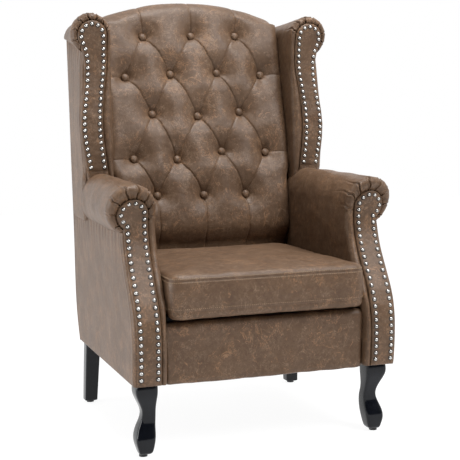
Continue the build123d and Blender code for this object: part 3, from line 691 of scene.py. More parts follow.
def button_rows():
    """Rows of the buttons' places across and along, from the lowest."""
    rows = []
    for row, wander in enumerate(button_wander):
        level = pad_front_z + row * row_rise
        first = -column * (len(wander) - 1)
        rows.append([(first + 2 * column * i + across * mm, float(run_at(level + up * mm)))
                     for i, (across, up) in enumerate(wander)])
    return rows


def tuft_seams(rows):
    """Seams of the back: both ends, strength, bow, and whether it fades towards its far end."""
    leftward_seam, rightward_seam = (1.0, 5 * mm, False), (0.75, -2 * mm, False)
    seams = []
    for lower, upper in zip(rows, rows[1:]):
        for a in lower:
            for b in upper:
                if abs(a[0] - b[0]) < 2 * column:
                    seams.append((a, b, *(leftward_seam if b[0] < a[0] else rightward_seam)))
    over_crest = float(crest_run) + 60 * mm
    for x, run in rows[-1]:
        seams.append(((x, run), (1.05 * x, over_crest), 0.75, math.copysign(2 * mm, x), True))
    for x, run in rows[0]:
        seams.append(((x, run), (x, 0), 0.7, 0, False))
    for row in rows[1::2]:
        for x, run in (row[0], row[-1]):
            side_x = math.copysign(back_half + 10 * mm, x)
            seams.append(((x, run), (side_x, run - 3 * mm), 0.4, 0, False))
    return seams


def seam_lift(x, run, seams):
    """How far the seams draw the cover in, with the distance to the nearest of them."""
    crease_depth = bpy.context.scene.chair_sizes.crease_depth
    crease_width, fold_width, fold_step, fold_edge = 1.25 * mm, 9 * mm, 0.35 * mm, 1.6 * mm
    lift, nearest = np.zeros_like(x), np.full_like(x, 1.0)
    for a, b, strength, bow, fades in seams:
        dx, dr = b[0] - a[0], b[1] - a[1]
        length = math.hypot(dx, dr)
        t = np.clip(((x - a[0]) * dx + (run - a[1]) * dr) / length ** 2, 0, 1)
        off_x, off_run = x - a[0] - t * dx, run - a[1] - t * dr
        side = (off_x * dr - off_run * dx) / length
        off = np.hypot(off_x, off_run)
        beside = off <= np.abs(side) * 1.02 + 1e-6
        signed = np.where(beside, side - bow * (1 - (2 * t - 1) ** 2), off)
        gap = np.abs(signed)
        nearest = np.minimum(nearest, gap)
        drawn = strength * ((1 - t) ** 0.5 if fades else 1)
        lift -= crease_depth * drawn * np.exp(-gap / crease_width)
        # One side of each seam is folded over the other
        fold = np.exp(-gap / fold_width) * np.sign(signed) * np.clip(gap / fold_edge, 0, 1)
        lift += fold_step * drawn * fold * (4 * t * (1 - t)) ** 0.5 * beside
    return lift, nearest


def button_lift(x, run, rows):
    """How far the buttons draw the cover in round them, with small folds."""
    sizes = bpy.context.scene.chair_sizes
    drawn_in = 34 * mm - sizes.pillow_rise
    hollow_share, fade_start, fade_end = 0.44, 0.8, 1.6
    fold_count, fold_depth, fold_place, fold_reach = 5, 0.40 * mm, 19 * mm, 9 * mm
    lift = np.zeros_like(x)
    for row in rows:
        for button_x, button_run in row:
            gap = np.hypot(x - button_x, run - button_run)
            angle = np.arctan2(run - button_run, x - button_x)
            wide = sizes.dimple_radius * (1 + 0.10 * np.sin(2 * angle + 30 * button_x) + 0.14 * np.sin(angle))
            fading = 1 - ease(gap, fade_start * wide, fade_end * wide)
            lift -= drawn_in * np.exp(-gap / (hollow_share * wide)) * fading
            fold = np.sin(fold_count * angle + 40 * button_x / column + button_run * 50)
            lift += fold_depth * sizes.creases * fold * np.exp(-((gap - fold_place) / fold_reach) ** 2)
    return lift


def build_inside_back():
    """The tufted back: pillows between pleats, drawn in to each button, over the arched crest."""
    sizes = bpy.context.scene.chair_sizes
    rows = button_rows()
    columns, lines = 321, 501
    pillow_reach, side_reach, side_round = 40 * mm, 24 * mm, 11 * mm
    warp, lining_depth = 1.6 * mm, 48 * mm
    crest_loss, rear_loss = 0.35, 0.8
    x, run = np.meshgrid(np.linspace(-1, 1, columns), np.linspace(0, profile_run[-1], lines))
    height = np.interp(run, profile_run, profile[:, 1])
    # The back is as wide as the space between the arms, and wider over them
    widening = ease(height, arm_top_z - 20 * mm, arm_top_z + 20 * mm)
    half = arm_inner_x + (back_half - arm_inner_x) * widening
    half = np.where(run > crest_run, back_half, half)
    x = x * half
    flat = np.stack([x, run, np.zeros_like(x)], -1)
    warped_x, warped_run = x + warp * hills(flat, 0.09, 3), run + warp * hills(flat, 0.10, 4)
    lift, nearest = seam_lift(warped_x, warped_run, tuft_seams(rows))
    lift += sizes.pillow_rise * (rounded(nearest, pillow_reach) - 1)
    lift += button_lift(x, run, rows)
    behind = ease(run, crest_run, crest_run + 50 * mm)
    lift -= side_round * (1 - rounded(half - np.abs(x), side_reach)) * (1 - behind)
    # The tufting flattens towards the crest and behind it
    lift *= 1 - crest_loss * ease(run, run_at(980 * mm), crest_run)
    lift *= 1 - rear_loss * behind
    lift += 0.5 * mm * sizes.creases * hills(flat, 0.055, 11) + 1.2 * mm * hills(flat, 0.19, 12)
    base, normal = back_base(x, run)
    inward = np.stack([-normal[:, 0] * lining_depth, -normal[:, -1] * lining_depth], 1)
    piece = lined_slab("inside_back_cover", base + normal * lift[..., None], inward,
                       bpy.data.materials["aged leather"])
    seat_piece(piece, ["inside_back"])
    cover_buttons(rows)


def cover_buttons(rows):
    """The covered buttons, each set deep in the back."""
    radius = bpy.context.scene.chair_sizes.button_radius
    rise, sunk, foot = 7.6 * mm, 19.5 * mm, 3 * mm
    rings, around, sweep = 8, 28, 1.75
    outline = []
    for ring in range(1, rings + 1):
        angle = ring / rings * sweep
        level = rise * math.cos(angle) if angle < math.pi / 2 else -2.5 * mm
        outline.append((radius * math.sin(angle) ** 0.9, level))
    vertices, faces = [], []
    for row in rows:
        for x, run in row:
            point, normal = back_base(np.array(x), np.array(run))
            outward = Vector(normal)
            add_dome(vertices, faces, Vector(point) - outward * sunk, outward, rise, outline, foot, around)
    piece = new_object("back_button_covers", vertices, faces, bpy.data.materials["aged leather"])
    seat_piece(piece, ["back_buttons"])


# Arms and wings: how far the facings stand in front of the covers, and how the rolls curl in behind them
facing_proud = 4 * mm
curl = 19 * mm
last_turn = math.radians(132)
front_rows, long_rows, rear_rows = 26, 60, 10
pleat_width = 1.6 * mm
wing_head, wing_head_radius = (289 * mm, 950 * mm), 37 * mm
wing_seam_z = 912 * mm


def roll_surface(section, far_section, target, rear_target, front_at, rear_y, rear_curl):
    """A rolled cover's grid: it curls round its front edge, runs back, and turns in at its rear."""
    front_y = front_at(section[:, 1])
    lines = []
    for turn in np.linspace(last_turn, 0, front_rows):
        share = (1 - math.cos(turn)) / (1 - math.cos(last_turn))
        cross = section * (1 - share) + target * share
        y = front_at(cross[:, 1]) * share + front_y * (1 - share) + facing_proud + curl * (1 - math.sin(turn))
        lines.append(np.stack([cross[:, 0], y, cross[:, 1]], 1))
    start, end = front_y + facing_proud + curl, rear_y - rear_curl
    for share in np.linspace(0, 1, long_rows + 1)[1:]:
        cross = section + (far_section - section) * share
        lines.append(np.stack([cross[:, 0], start + (end - start) * share, cross[:, 1]], 1))
    for turn in np.linspace(0, math.pi / 2, rear_rows + 1)[1:]:
        share = 1 - math.cos(turn)
        cross = far_section * (1 - share) + rear_target * share
        lines.append(np.stack([cross[:, 0], end + rear_curl * math.sin(turn), cross[:, 1]], 1))
    return np.stack(lines)


def gathered_cover(name, grid, section, pleats, seed, thickness):
    """Covers both sides with a roll that is gathered in pleats, each with its place and its strength."""
    sizes = bpy.context.scene.chair_sizes
    run = lengths_along(section)
    # Pleats are deep at the facing's edge and fade along the roll, within a few rows behind its front
    edge_strength, front_strength, fade_rows = 1.15, 0.62, 4.2
    forward = np.linspace(0, 1, front_rows)[:, None]
    behind = np.arange(1, long_rows + rear_rows + 1)[:, None]
    gathered = np.clip(edge_strength + (front_strength - edge_strength) * forward, 0, 1)
    fade = np.concatenate([gathered, front_strength * np.exp(-behind / fade_rows)])
    depth = np.zeros(grid.shape[:2])
    for place, strength in pleats:
        wander = 2 * mm * np.sin(np.arange(len(grid)) * 0.35 + place * 90)[:, None]
        gap = np.abs(run - place * run[-1] + wander)
        # Each pleat is a crease between two low ridges
        ridges = np.exp(-((gap - 2.6 * pleat_width) / (1.6 * pleat_width)) ** 2)
        depth -= strength * sizes.pleat_depth * (np.exp(-gap / pleat_width) - 0.30 * ridges) * fade
    depth += 0.7 * mm * sizes.creases * hills(grid * np.array([1, 0.55, 1]), 0.05, seed)
    depth += 0.9 * mm * sizes.creases * hills(grid, 0.14, seed + 40)
    normal = normals_of(grid)
    both_sides(name, grid + normal * depth[..., None], grid - normal * thickness)


def matched(*outlines, counts):
    """Lines with the same number of points in each of their parts."""
    lines = []
    for parts in outlines:
        parts = [spread(part, count) for part, count in zip(parts, counts)]
        lines.append(np.concatenate([parts[0]] + [part[1:] for part in parts[1:]]))
    return lines


def build_arms():
    """Inside arms with their scroll rolls, gathered in pleats round the facings."""
    last = -math.degrees(math.asin((roll_z - seam_z) / roll_radius))
    seam_x = roll_x + roll_radius * math.cos(math.radians(last))
    section, target = matched(
        [[(arm_inner_x, frame_bottom_z), (arm_inner_x, roll_z)],
         arc((roll_x, roll_z), roll_radius, 180, last, 120),
         [(seam_x, seam_z), (roll_x + 18 * mm, seam_z - 3 * mm)]],
        [[(facing_inner_x, frame_bottom_z), (facing_inner_x, head_z)],
         arc((head_x, head_z), head_radius, 180, -54, 120),
         [(head_x + 21 * mm, head_z - 29 * mm), (head_x + 16 * mm, head_z - 33 * mm)]],
        counts=(130, 200, 5))
    wall = section[:, 0] < arm_inner_x + 1e-6
    # The foot of the wall stands a little further out
    section[:, 0] += 6 * mm * wall * (1 - ease(section[:, 1], 296 * mm, 350 * mm))
    # The roll narrows and rises a little towards the wing, where its end turns in
    far_section = section.copy()
    far_section[:, 0] = np.where(wall, arm_inner_x, arm_inner_x + (section[:, 0] - arm_inner_x) * 0.80)
    far_section[:, 1] += 9 * mm * ease(section[:, 1], roll_z, arm_top_z)
    under = np.maximum(roll_z - section[:, 1], 0) * (section[:, 0] > roll_x)
    far_section[:, 1] -= 0.14 * under
    rear_target = far_section.copy()
    rear_target[:, 0] -= np.maximum(far_section[:, 0] - (wing_side_x - 10 * mm), 0)
    rear_y = np.full(len(section), 132 * mm)
    grid = roll_surface(section, far_section, target, rear_target, arm_front, rear_y, 20 * mm)
    pleats = ((0.585, 1.0), (0.635, 1.4), (0.68, 1.5), (0.73, 1.4),
              (0.78, 1.3), (0.84, 1.0), (0.90, 0.8), (0.96, 1.1))
    gathered_cover("arm_pad", grid, section, pleats, 21, 11 * mm)


def wing_rear(z):
    """Depth of the wing pad's rear at a height: within the back's pad below, and behind the back above."""
    inside = pad_front_y + (z - pad_front_z) * slope + 45 * mm
    rolled = back_line(np.minimum(z, 1000 * mm)) + 17 * mm
    return inside + (rolled - inside) * ease(z, 880 * mm, 960 * mm)


def build_wings():
    """Inside wings with their rolls, gathered round the facings."""
    last = -math.degrees(math.asin((wing_roll_z - wing_seam_z) / wing_roll_radius))
    seam_x = wing_roll_x + wing_roll_radius * math.cos(math.radians(last))
    inner = np.array([(252, 578), (256, 605), (264, 670), (268, 725), (264, 800), (253.5, 865), (252, 885),
                      (252, 950)]) * mm
    section, target = matched(
        [[(wing_inner_x, arm_top_z - 24 * mm), (wing_inner_x, wing_roll_z)],
         arc((wing_roll_x, wing_roll_z), wing_roll_radius, 180, last, 120),
         [(seam_x, wing_seam_z), (wing_roll_x + 14 * mm, wing_seam_z - 4 * mm)]],
        [softened(inner, 12 * mm),
         arc(wing_head, wing_head_radius, 180, -50, 120),
         [(312 * mm, 921 * mm), (306 * mm, 916 * mm)]],
        counts=(150, 180, 5))
    # The roll narrows and closes towards the back, where its end turns in
    far_section = section.copy()
    far_section[:, 0] = wing_inner_x + (section[:, 0] - wing_inner_x) * 0.76
    upper = np.maximum(section[:, 1] - wing_roll_z, 0)
    under = np.maximum(wing_roll_z - section[:, 1], 0) * (section[:, 0] > wing_roll_x)
    far_section[:, 1] += 0.85 * under - 0.32 * upper
    wall = section[:, 0] < wing_inner_x + 1e-6
    rear_middle = np.array([wing_roll_x - 12 * mm, wing_roll_z + 6 * mm])
    rear_target = far_section * 0.10 + rear_middle * 0.90
    rear_target[wall] = far_section[wall]
    rear_z = section[:, 1].copy()
    peak = int(np.argmax(rear_z))
    rear_z[peak:] = rear_z[peak]
    grid = roll_surface(section, far_section, target, rear_target, wing_front, wing_rear(rear_z), 16 * mm)
    pleats = ((0.665, 1.3), (0.705, 1.6), (0.745, 1.7), (0.785, 1.5),
              (0.83, 1.2), (0.88, 0.9), (0.93, 0.9), (0.975, 1.1))
    gathered_cover("wing_pad", grid, section, pleats, 31, 10 * mm)


def facing_piece(name, left, right, front_at, centre, radius, foot_seam=None):
    """A domed facing between two side lines that meet round its head, with a foot seam if wanted."""
    sizes = bpy.context.scene.chair_sizes
    rows, head_rows, columns = 240, 40, 41
    edge_drop, dome_reach, rear_depth = facing_proud + 3 * mm, 8 * mm, 13 * mm
    centre_x, centre_z = centre
    low_z = left[0, 1]
    straight = np.linspace(low_z, centre_z, rows - head_rows)
    head = centre_z + radius * np.sin(np.linspace(0, math.pi / 2 - 0.02, head_rows + 1))[1:]
    across = (1 - np.cos(np.linspace(0, math.pi, columns))) / 2
    lines = []
    for height in np.r_[straight, head]:
        half = math.sqrt(max(radius ** 2 - (height - centre_z) ** 2, 1e-8))
        start, end = centre_x - half, centre_x + half
        if height < centre_z:
            start = np.interp(height, left[:, 1], left[:, 0])
            side = np.interp(height, right[:, 1], right[:, 0])
            end = max(side, end) if centre_z - height < radius else side
        lines.append(np.stack([start + (end - start) * across, np.full(columns, height)], 1))
    grid = np.stack(lines)
    x, z = grid[..., 0], grid[..., 1]
    edge = np.minimum(x - x[:, :1], x[:, -1:] - x)
    edge = np.where(z > centre_z, radius - np.hypot(x - centre_x, z - centre_z), edge)
    edge = np.minimum(edge, (z - low_z) * 1.2 + 0.5 * mm)
    dome = rounded(np.maximum(edge, 0), dome_reach)
    points = np.stack([x, front_at(z) + edge_drop * (1 - dome), z], -1)
    points[..., 1] += 0.5 * mm * hills(points, 0.05, 5) * dome
    points[..., 1] += 0.45 * mm * sizes.creases * hills(points * np.array([0.6, 1, 1.5]), 0.035, 6) * dome
    if foot_seam is not None:
        points[..., 1] += 2.2 * mm * np.exp(-np.abs(z - foot_seam) / (1.6 * mm)) * dome
        points[..., 1] += 1.2 * mm * ease(foot_seam - z, 0, 2 * mm) * dome
    behind = points.copy()
    behind[..., 1] = front_at(z) + rear_depth
    both_sides(name, points, behind)


def build_facings():
    """Padded facings of the arms and wings with their rows of nails."""
    outer_x, neck = 309 * mm, head_z - 29.2 * mm
    left = np.array([(facing_inner_x, frame_bottom_z), (facing_inner_x, head_z)])
    right = np.array([(outer_x, frame_bottom_z), (outer_x, neck)])
    facing_piece("arm_facing", left, right, arm_front, (head_x, head_z), head_radius)
    left = np.array([(255.5, 590), (262, 650), (266.5, 690), (268, 725), (266.5, 765), (260, 820), (254, 860),
                     (252, 885), (252, 950)]) * mm
    right = np.array([(309, 590), (318, 650), (323, 690), (325, 725), (322, 765), (314, 820), (310.5, 860),
                      (310, 885), (314, 910), (322, 930), (326, 950)]) * mm
    facing_piece("wing_facing", left, right, wing_front, wing_head, wing_head_radius, foot_seam=617.5 * mm)
    # The nails follow the facings' edges, up the outer side, round the head and down the inner side
    inset, foot = 9.5 * mm, frame_bottom_z + 16 * mm
    arm_route = joined([(outer_x - inset, foot), (outer_x - inset, neck + 6 * mm)],
                       arc((head_x, head_z), head_radius - inset, -26, 180, 40),
                       [(facing_inner_x + inset, head_z), (facing_inner_x + inset, foot)])
    outer_side = np.array([(302, 626), (309, 665), (314, 700), (315.5, 725), (313, 765),
                           (304.5, 820), (301, 860), (300.5, 885), (304, 912), (312, 932)]) * mm
    inner_side = np.array([(261.5, 940), (261.5, 885), (264, 855), (270, 815), (276, 765),
                           (277.5, 725), (276, 690), (271.5, 650), (268, 626)]) * mm
    over = arc(wing_head, wing_head_radius - inset, -20, 180, 40)
    wing_route = softened(joined(outer_side, over, inner_side), 8 * mm)
    for side, turn in (("right", 1), ("left", -1)):
        for name, route, front_at in (("arm", arm_route, arm_front), ("wing", wing_route, wing_front)):
            # Both sides run from the right foot to the left one, as seen from the front
            route = (route * np.array([turn, 1]))[::turn]
            nail_row(f"{side}_{name}", route, front_at, f"{side}_{name}_nails")


# Outside covers, border, cushion and legs
def side_panel(name, front_at, side_at, low_z, high_z, turn_in, seed, pucker, climb):
    """An outside cover: a sheet, slightly full, that turns in round its front corner behind a sewn band."""
    creases = bpy.context.scene.chair_sizes.creases
    rows, corner_columns, long_columns = 160, 9, 80
    corner, band_width, lining_depth = 16 * mm, 19 * mm, 6 * mm
    fullness, unevenness, groove, band_fullness = 2.2 * mm, 0.8 * mm, 1.9 * mm, 1.6 * mm
    gather_pitch, gather_reach = 31 * mm, 26 * mm
    tall = high_z - low_z
    z = np.linspace(low_z, high_z, rows)
    start, end, side_x = front_at(z) + facing_proud, back_line(z) + 1 * mm, side_at(z)
    lines = []
    for turn in np.linspace(math.pi / 2, 0, corner_columns):
        x = side_x - turn_in * (1 - math.cos(turn))
        lines.append(np.stack([x, start + corner * (1 - math.sin(turn)), z], 1))
    for share in np.linspace(0, 1, long_columns + 1)[1:]:
        y = start + corner + (end - start - corner) * share
        lines.append(np.stack([side_x + (side_rear_x - side_x) * share, y, z], 1))
    grid = np.stack(lines, 1)
    behind_front = grid[..., 1] - start[:, None]
    along = np.clip(behind_front / (end - start)[:, None], 0, 1)
    up = (grid[..., 2] - low_z) / tall
    grid[..., 2] += climb * along * ease(up, 0.6, 1)
    edge = np.minimum(np.minimum(up, 1 - up) * tall, np.minimum(along + 0.02, 1 - along) * 0.4)
    puff = fullness * np.sqrt(np.clip(edge / (30 * mm), 0, 1)) - 1 * mm
    puff += unevenness * creases * hills(grid, 0.16, seed) * np.clip(edge / (25 * mm), 0, 1)
    # The band is full, with a stitched groove behind it
    past_band = behind_front - band_width
    puff -= groove * np.exp(-np.abs(past_band) / (1.5 * mm))
    puff += band_fullness * np.exp(-((past_band + 9 * mm) / (7 * mm)) ** 2)
    # Small gathers under the seam along the top
    drop = tall * (1 - up)
    gather = np.sin(grid[..., 1] * 2 * math.pi / gather_pitch + 2.5 * hills(grid, 0.2, seed + 3))
    puff += pucker * gather * np.exp(-drop / gather_reach) * ease(drop, 0, 6 * mm)
    back = grid - np.array([lining_depth, 0, 0])
    grid[..., 0] += puff
    both_sides(name, grid, back)


def arm_side(z):
    """How far out the outside arm stands at a height."""
    return np.full_like(z, side_front_x - 2 * mm)


def wing_start(z):
    """Depth of the outside wing's front at a height: the facing's line, set back at its foot."""
    rolled = ease(z, 590 * mm, 616 * mm)
    return 108 * mm * (1 - rolled) + wing_front(z) * rolled


def wing_side(z):
    """How far out the outside wing stands at a height."""
    belly = 7 * mm * np.exp(-((z - 725 * mm) / (75 * mm)) ** 2)
    return wing_side_x - 3 * mm + belly - 5 * mm * ease(z, 850 * mm, 912 * mm)


def build_outsides():
    """Outside arms, outside wings and the outside back."""
    side_panel("outside_arm", arm_front, arm_side, frame_bottom_z, seam_z + 2 * mm,
               turn_in=5 * mm, seed=51, pucker=1.1 * mm, climb=7 * mm)
    side_panel("outside_wing", wing_start, wing_side, seam_z - 1 * mm, 918 * mm,
               turn_in=6 * mm, seed=61, pucker=1.3 * mm, climb=34 * mm)
    build_outside_back()


def build_outside_back():
    """The flat outside back, with a shallow arch at its top and lower shoulders beside it."""
    creases = bpy.context.scene.chair_sizes.creases
    half, rear_arch, shoulder_z = side_rear_x, 601 * mm, 970 * mm
    x, up = np.meshgrid(np.linspace(-half, half, 161), np.linspace(0, 1, 221))
    top = arch_z + np.sqrt(rear_arch ** 2 - x ** 2)
    top += (shoulder_z - top) * ease(np.abs(x), 236 * mm, 262 * mm)
    z = frame_bottom_z + (top - frame_bottom_z) * up
    edge = np.minimum(np.minimum(half - np.abs(x), top - z), z - frame_bottom_z)
    y = back_line(z) + 5 * mm - 4 * mm * (1 - rounded(edge, 14 * mm))
    front = np.stack([x, y, z], -1)
    front[..., 1] += 1.2 * mm * creases * hills(front, 0.22, 71) * np.clip(edge / (40 * mm), 0, 1)
    back = np.stack([x, np.minimum(y, back_line(z)) - 2 * mm, z], -1)
    piece = padded_slab("outside_back_cover", front, back, bpy.data.materials["aged leather"], flip=True)
    seat_piece(piece, ["outside_back"])


def build_border():
    """The padded strip under the cushion, rounded over its top edge."""
    creases = bpy.context.scene.chair_sizes.creases
    rows, columns = 90, 241
    top_round = 16 * mm
    low_z, top_z = low("front_border").z, high("front_border").z
    half = high("front_border").x + 7 * mm
    foot = [(border_front_y + 12 * mm, low_z), (border_front_y + 3 * mm, low_z + 3 * mm),
            (border_front_y, low_z + 12 * mm), (border_front_y, top_z - top_round)]
    over = arc((border_front_y + top_round, top_z - top_round), top_round, 180, 90, 14)
    rear = [(high("front_border").y, top_z - 1 * mm)]
    line = spread(softened(np.concatenate([foot, over, rear]), 5 * mm), rows)
    x = np.tile(np.linspace(-half, half, columns), (rows, 1))
    grid = np.stack([x, np.repeat(line[:, :1], columns, 1), np.repeat(line[:, 1:], columns, 1)], -1)
    normal = normals_of(grid)
    grid[..., 0] *= 1 - 0.02 * (1 - ease(grid[..., 2], low_z, top_z))
    depth = -3.0 * mm * (1 - rounded(half - np.abs(x), 12 * mm))
    depth += 1.1 * mm * creases * hills(grid, 0.09, 81) - 1.0 * mm
    # The lining follows the front, flatter
    back = grid.copy()
    back[..., 1] = border_front_y + 15 * mm + 0.35 * np.maximum(grid[..., 1] - border_front_y - 14 * mm, 0)
    back[..., 2] = np.clip(grid[..., 2], low_z + 5 * mm, top_z - 8 * mm)
    front = grid + normal * depth[..., None]
    piece = padded_slab("front_border_cover", front, back, bpy.data.materials["aged leather"])
    seat_piece(piece, ["front_border"])


def cushion_outline(count):
    """The cushion's outline from above, with round corners and sides that draw in a little."""
    lower, upper = low("seat_cushion"), high("seat_cushion")
    corner, draw, near = 26 * mm, 2 * mm, 12 * mm
    half, front_y, rear_y = upper.x + 2 * mm, lower.y - 9 * mm, upper.y
    inner_x, inner_front, inner_rear = half - corner, front_y + corner, rear_y - corner
    points = []
    for x, y, start in ((inner_x, inner_front, -90), (inner_x, inner_rear, 0), (-inner_x, inner_rear, 90),
                        (-inner_x, inner_front, 180)):
        points += list(arc((x, y), corner, start, start + 90, 16))
    points.append(points[0])
    line = spread(np.array(points), count + 1)[:-1]
    middle, half_depth = (front_y + rear_y) / 2, (rear_y - front_y) / 2
    x, y = line[:, 0].copy(), line[:, 1] - middle
    at_front_or_rear = np.abs(np.abs(y) - half_depth) < near
    at_sides = np.abs(np.abs(x) - half) < near
    line[:, 1] -= np.where(at_front_or_rear, draw * (1 - (x / half) ** 2) * np.sign(y), 0)
    line[:, 0] -= np.where(at_sides, draw * (1 - (y / half_depth) ** 2) * np.sign(x), 0)
    return line


def cushion_rings(outline, seams):
    """Loops from the middle of the cushion's underside out, up its side, and in over its crown."""
    lower, upper = low("seat_cushion"), high("seat_cushion")
    bottom_seam, top_seam = seams
    under, shoulder, shoulder_end = bottom_seam - lower.z, 17 * mm, math.radians(76)
    shoulder_share, side_fullness, crown_power = 0.85, 2.6 * mm, 3.2
    centre = outline.mean(0)
    tangent = np.roll(outline, -1, 0) - np.roll(outline, 1, 0)
    inward = np.stack([-tangent[:, 1], tangent[:, 0]], 1)
    inward /= np.linalg.norm(inward, axis=1, keepdims=True)
    rings = []

    def ring(drawn, z, share=0.0):
        """One loop of the cushion, drawn in by a distance and then by a share of the way to its middle."""
        line = (outline + inward * drawn) * (1 - share) + centre * share
        rings.append(np.column_stack([line, np.full(len(outline), z)]))

    for share in np.linspace(0.97, 0.06, 14):
        ring(under, lower.z + 0.3 * mm, share)
    for angle in np.radians(np.linspace(0, 90, 12)):
        ring(under * (1 - math.sin(angle)), lower.z + under * (1 - math.cos(angle)))
    for share in np.linspace(0, 1, 42)[1:]:
        ring(-side_fullness * (1 - (2 * share - 1) ** 2), bottom_seam + (top_seam - bottom_seam) * share)
    for angle in np.linspace(0, shoulder_end, 16)[1:]:
        ring(shoulder * (1 - math.cos(angle)), top_seam + shoulder_share * shoulder * math.sin(angle))
    drawn = shoulder * (1 - math.cos(shoulder_end))
    start = rings[-1][0, 2]
    for share in np.linspace(0, 0.985, 72)[1:]:
        ring(drawn, start + (upper.z - start) * (1 - (1 - share) ** crown_power), share)
    return np.stack(rings)


def build_cushion():
    """The loose seat cushion: a crowned box cushion with topstitched seams."""
    creases = bpy.context.scene.chair_sizes.creases
    around = 520
    lower_z = low("seat_cushion").z
    bottom_seam, top_seam = lower_z + 13 * mm, 395 * mm
    outline = cushion_outline(around)
    grid = cushion_rings(outline, (bottom_seam, top_seam))
    rows = len(grid)
    normal = normals_of(np.concatenate([grid, grid[:, :1]], 1))[:, :around]
    level = grid[..., 2]
    top = ease(level, top_seam, top_seam + 14 * mm)
    depth = 1.5 * mm * creases * hills(grid, 0.17, 91) * (0.35 + 0.65 * top)
    depth += 0.45 * mm * creases * hills(grid, 0.045, 92)
    for seam in (top_seam, bottom_seam + 4 * mm):
        depth -= 1.1 * mm * np.exp(-((level - seam) / (1.6 * mm)) ** 2)
    # The cover is gathered a little along its top seam, here more and there less
    gathers, gather_depth, gather_reach = 61, 0.35 * mm, 9 * mm
    turn = 2 * math.pi * np.linspace(0, 1, around, endpoint=False)
    gather = np.sin(gathers * turn + 3 * np.sin(7 * turn)) * (0.6 + 0.4 * np.sin(5 * turn))
    depth += gather_depth * creases * gather * np.exp(-np.abs(level - top_seam) / gather_reach)
    grid = grid + normal * depth[..., None]
    # The front edge hangs a little lower in front of the border
    hang = ease(-grid[..., 1], 294 * mm, 318 * mm) * (1 - ease(grid[..., 2], lower_z, lower_z + 60 * mm))
    grid[..., 2] -= 3.5 * mm * hang
    centre = outline.mean(0)
    middles = [[*centre, grid[0, :, 2].mean()], [*centre, grid[-1, :, 2].mean()]]
    low_middle, high_middle, last = rows * around, rows * around + 1, (rows - 1) * around
    faces = grid_faces(rows, around, wrap=True)
    for j in range(around):
        k = (j + 1) % around
        faces += [[low_middle, k, j], [high_middle, last + j, last + k]]
    vertices = np.concatenate([grid.reshape(-1, 3), middles])
    piece = new_object("seat_cushion_cover", vertices, faces, bpy.data.materials["aged leather"])
    seat_piece(piece, ["seat_cushion"], body="seat_cushion")
    stitches(grid, normal, (top_seam - 3.5 * mm, top_seam + 4.5 * mm, bottom_seam + 9 * mm))


def stitches(grid, normal, levels):
    """Rows of short thread stitches along the seams of the cushion."""
    pitch, half_width, rise, sunk = 4.6 * mm, 0.75 * mm, 0.55 * mm, 0.9 * mm
    height = grid[..., 2].mean(1)
    vertices, faces = [], []
    for level in levels:
        row = int(np.argmin(np.abs(height - level)))
        loop = np.concatenate([grid[row], grid[row, :1]])
        outs = np.concatenate([normal[row], normal[row, :1]])
        run = lengths_along(loop)
        count = int(run[-1] / pitch)
        for i in range(count):
            ends = [(i + share) / count * run[-1] for share in (0.16, 0.84)]
            a, b = (np.array([np.interp(end, run, loop[:, c]) for c in range(3)]) for end in ends)
            outward = np.array([np.interp(ends[0], run, outs[:, c]) for c in range(3)])
            outward /= np.linalg.norm(outward)
            side = np.cross(b - a, outward)
            side *= half_width / max(np.linalg.norm(side), 1e-9)
            lift, sink = outward * rise, -outward * sunk
            start = len(vertices)
            for point in (a + sink, (a + b) / 2 + 1.3 * lift, b + sink):
                vertices += [point + side, point + 0.9 * lift, point - side, point - 0.9 * lift]
            for block in (start, start + 4):
                for k in range(4):
                    m = (k + 1) % 4
                    faces.append([block + k, block + m, block + 4 + m, block + 4 + k])
            faces.append([start + 3, start + 2, start + 1, start])
            faces.append([start + 8, start + 9, start + 10, start + 11])
    piece = new_object("cushion_stitches", vertices, faces, bpy.data.materials["tan thread"])
    seat_piece(piece, [], body="seat_cushion")


def build_deck():
    """The lining cloth over the springs, made black as painted shade so that it reads as the shadow line
    under the cushion.
    """
    first, last = low("seat_deck"), high("seat_deck")
    x, y = np.meshgrid(np.linspace(first.x, last.x, 61), np.linspace(first.y, last.y, 61))
    top = np.stack([x, y, np.full_like(x, last.z)], -1)
    top[..., 2] -= 0.8 * mm + 0.6 * mm * hills(top, 0.15, 95)
    under = np.stack([x, y, np.full_like(x, first.z)], -1)
    # The deck cloth is black as painted shade in the gap under the cushion
    piece = padded_slab("seat_deck_cover", top, under, bpy.data.materials["black cambric"])
    seat_piece(piece, ["seat_deck"])


# The front legs' middle at their tops, half their thickness, and the length by which they kick
front_leg_x, front_leg_y, front_leg_half, front_leg_kick = 278.5 * mm, -282 * mm, 24.5 * mm, 10 * mm

# Level by level of a front leg: share of its height, share of its thickness, and its kick outward and back
front_leg_shares = (
    (1, 1, 0, 0), (0.86, 1.02, 0.05, -0.1), (0.74, 0.84, -0.25, 0.2), (0.62, 0.66, -0.65, 0.6),
    (0.49, 0.67, -0.70, 1.2), (0.39, 0.78, -0.35, 1.3), (0.27, 0.90, 0.05, 0.9), (0.16, 0.86, 0.2, 0.6),
    (0.06, 0.70, 0.15, 0.5), (0.02, 0.58, 0.2, 0.5), (0, 0.46, 0.3, 0.6),
)


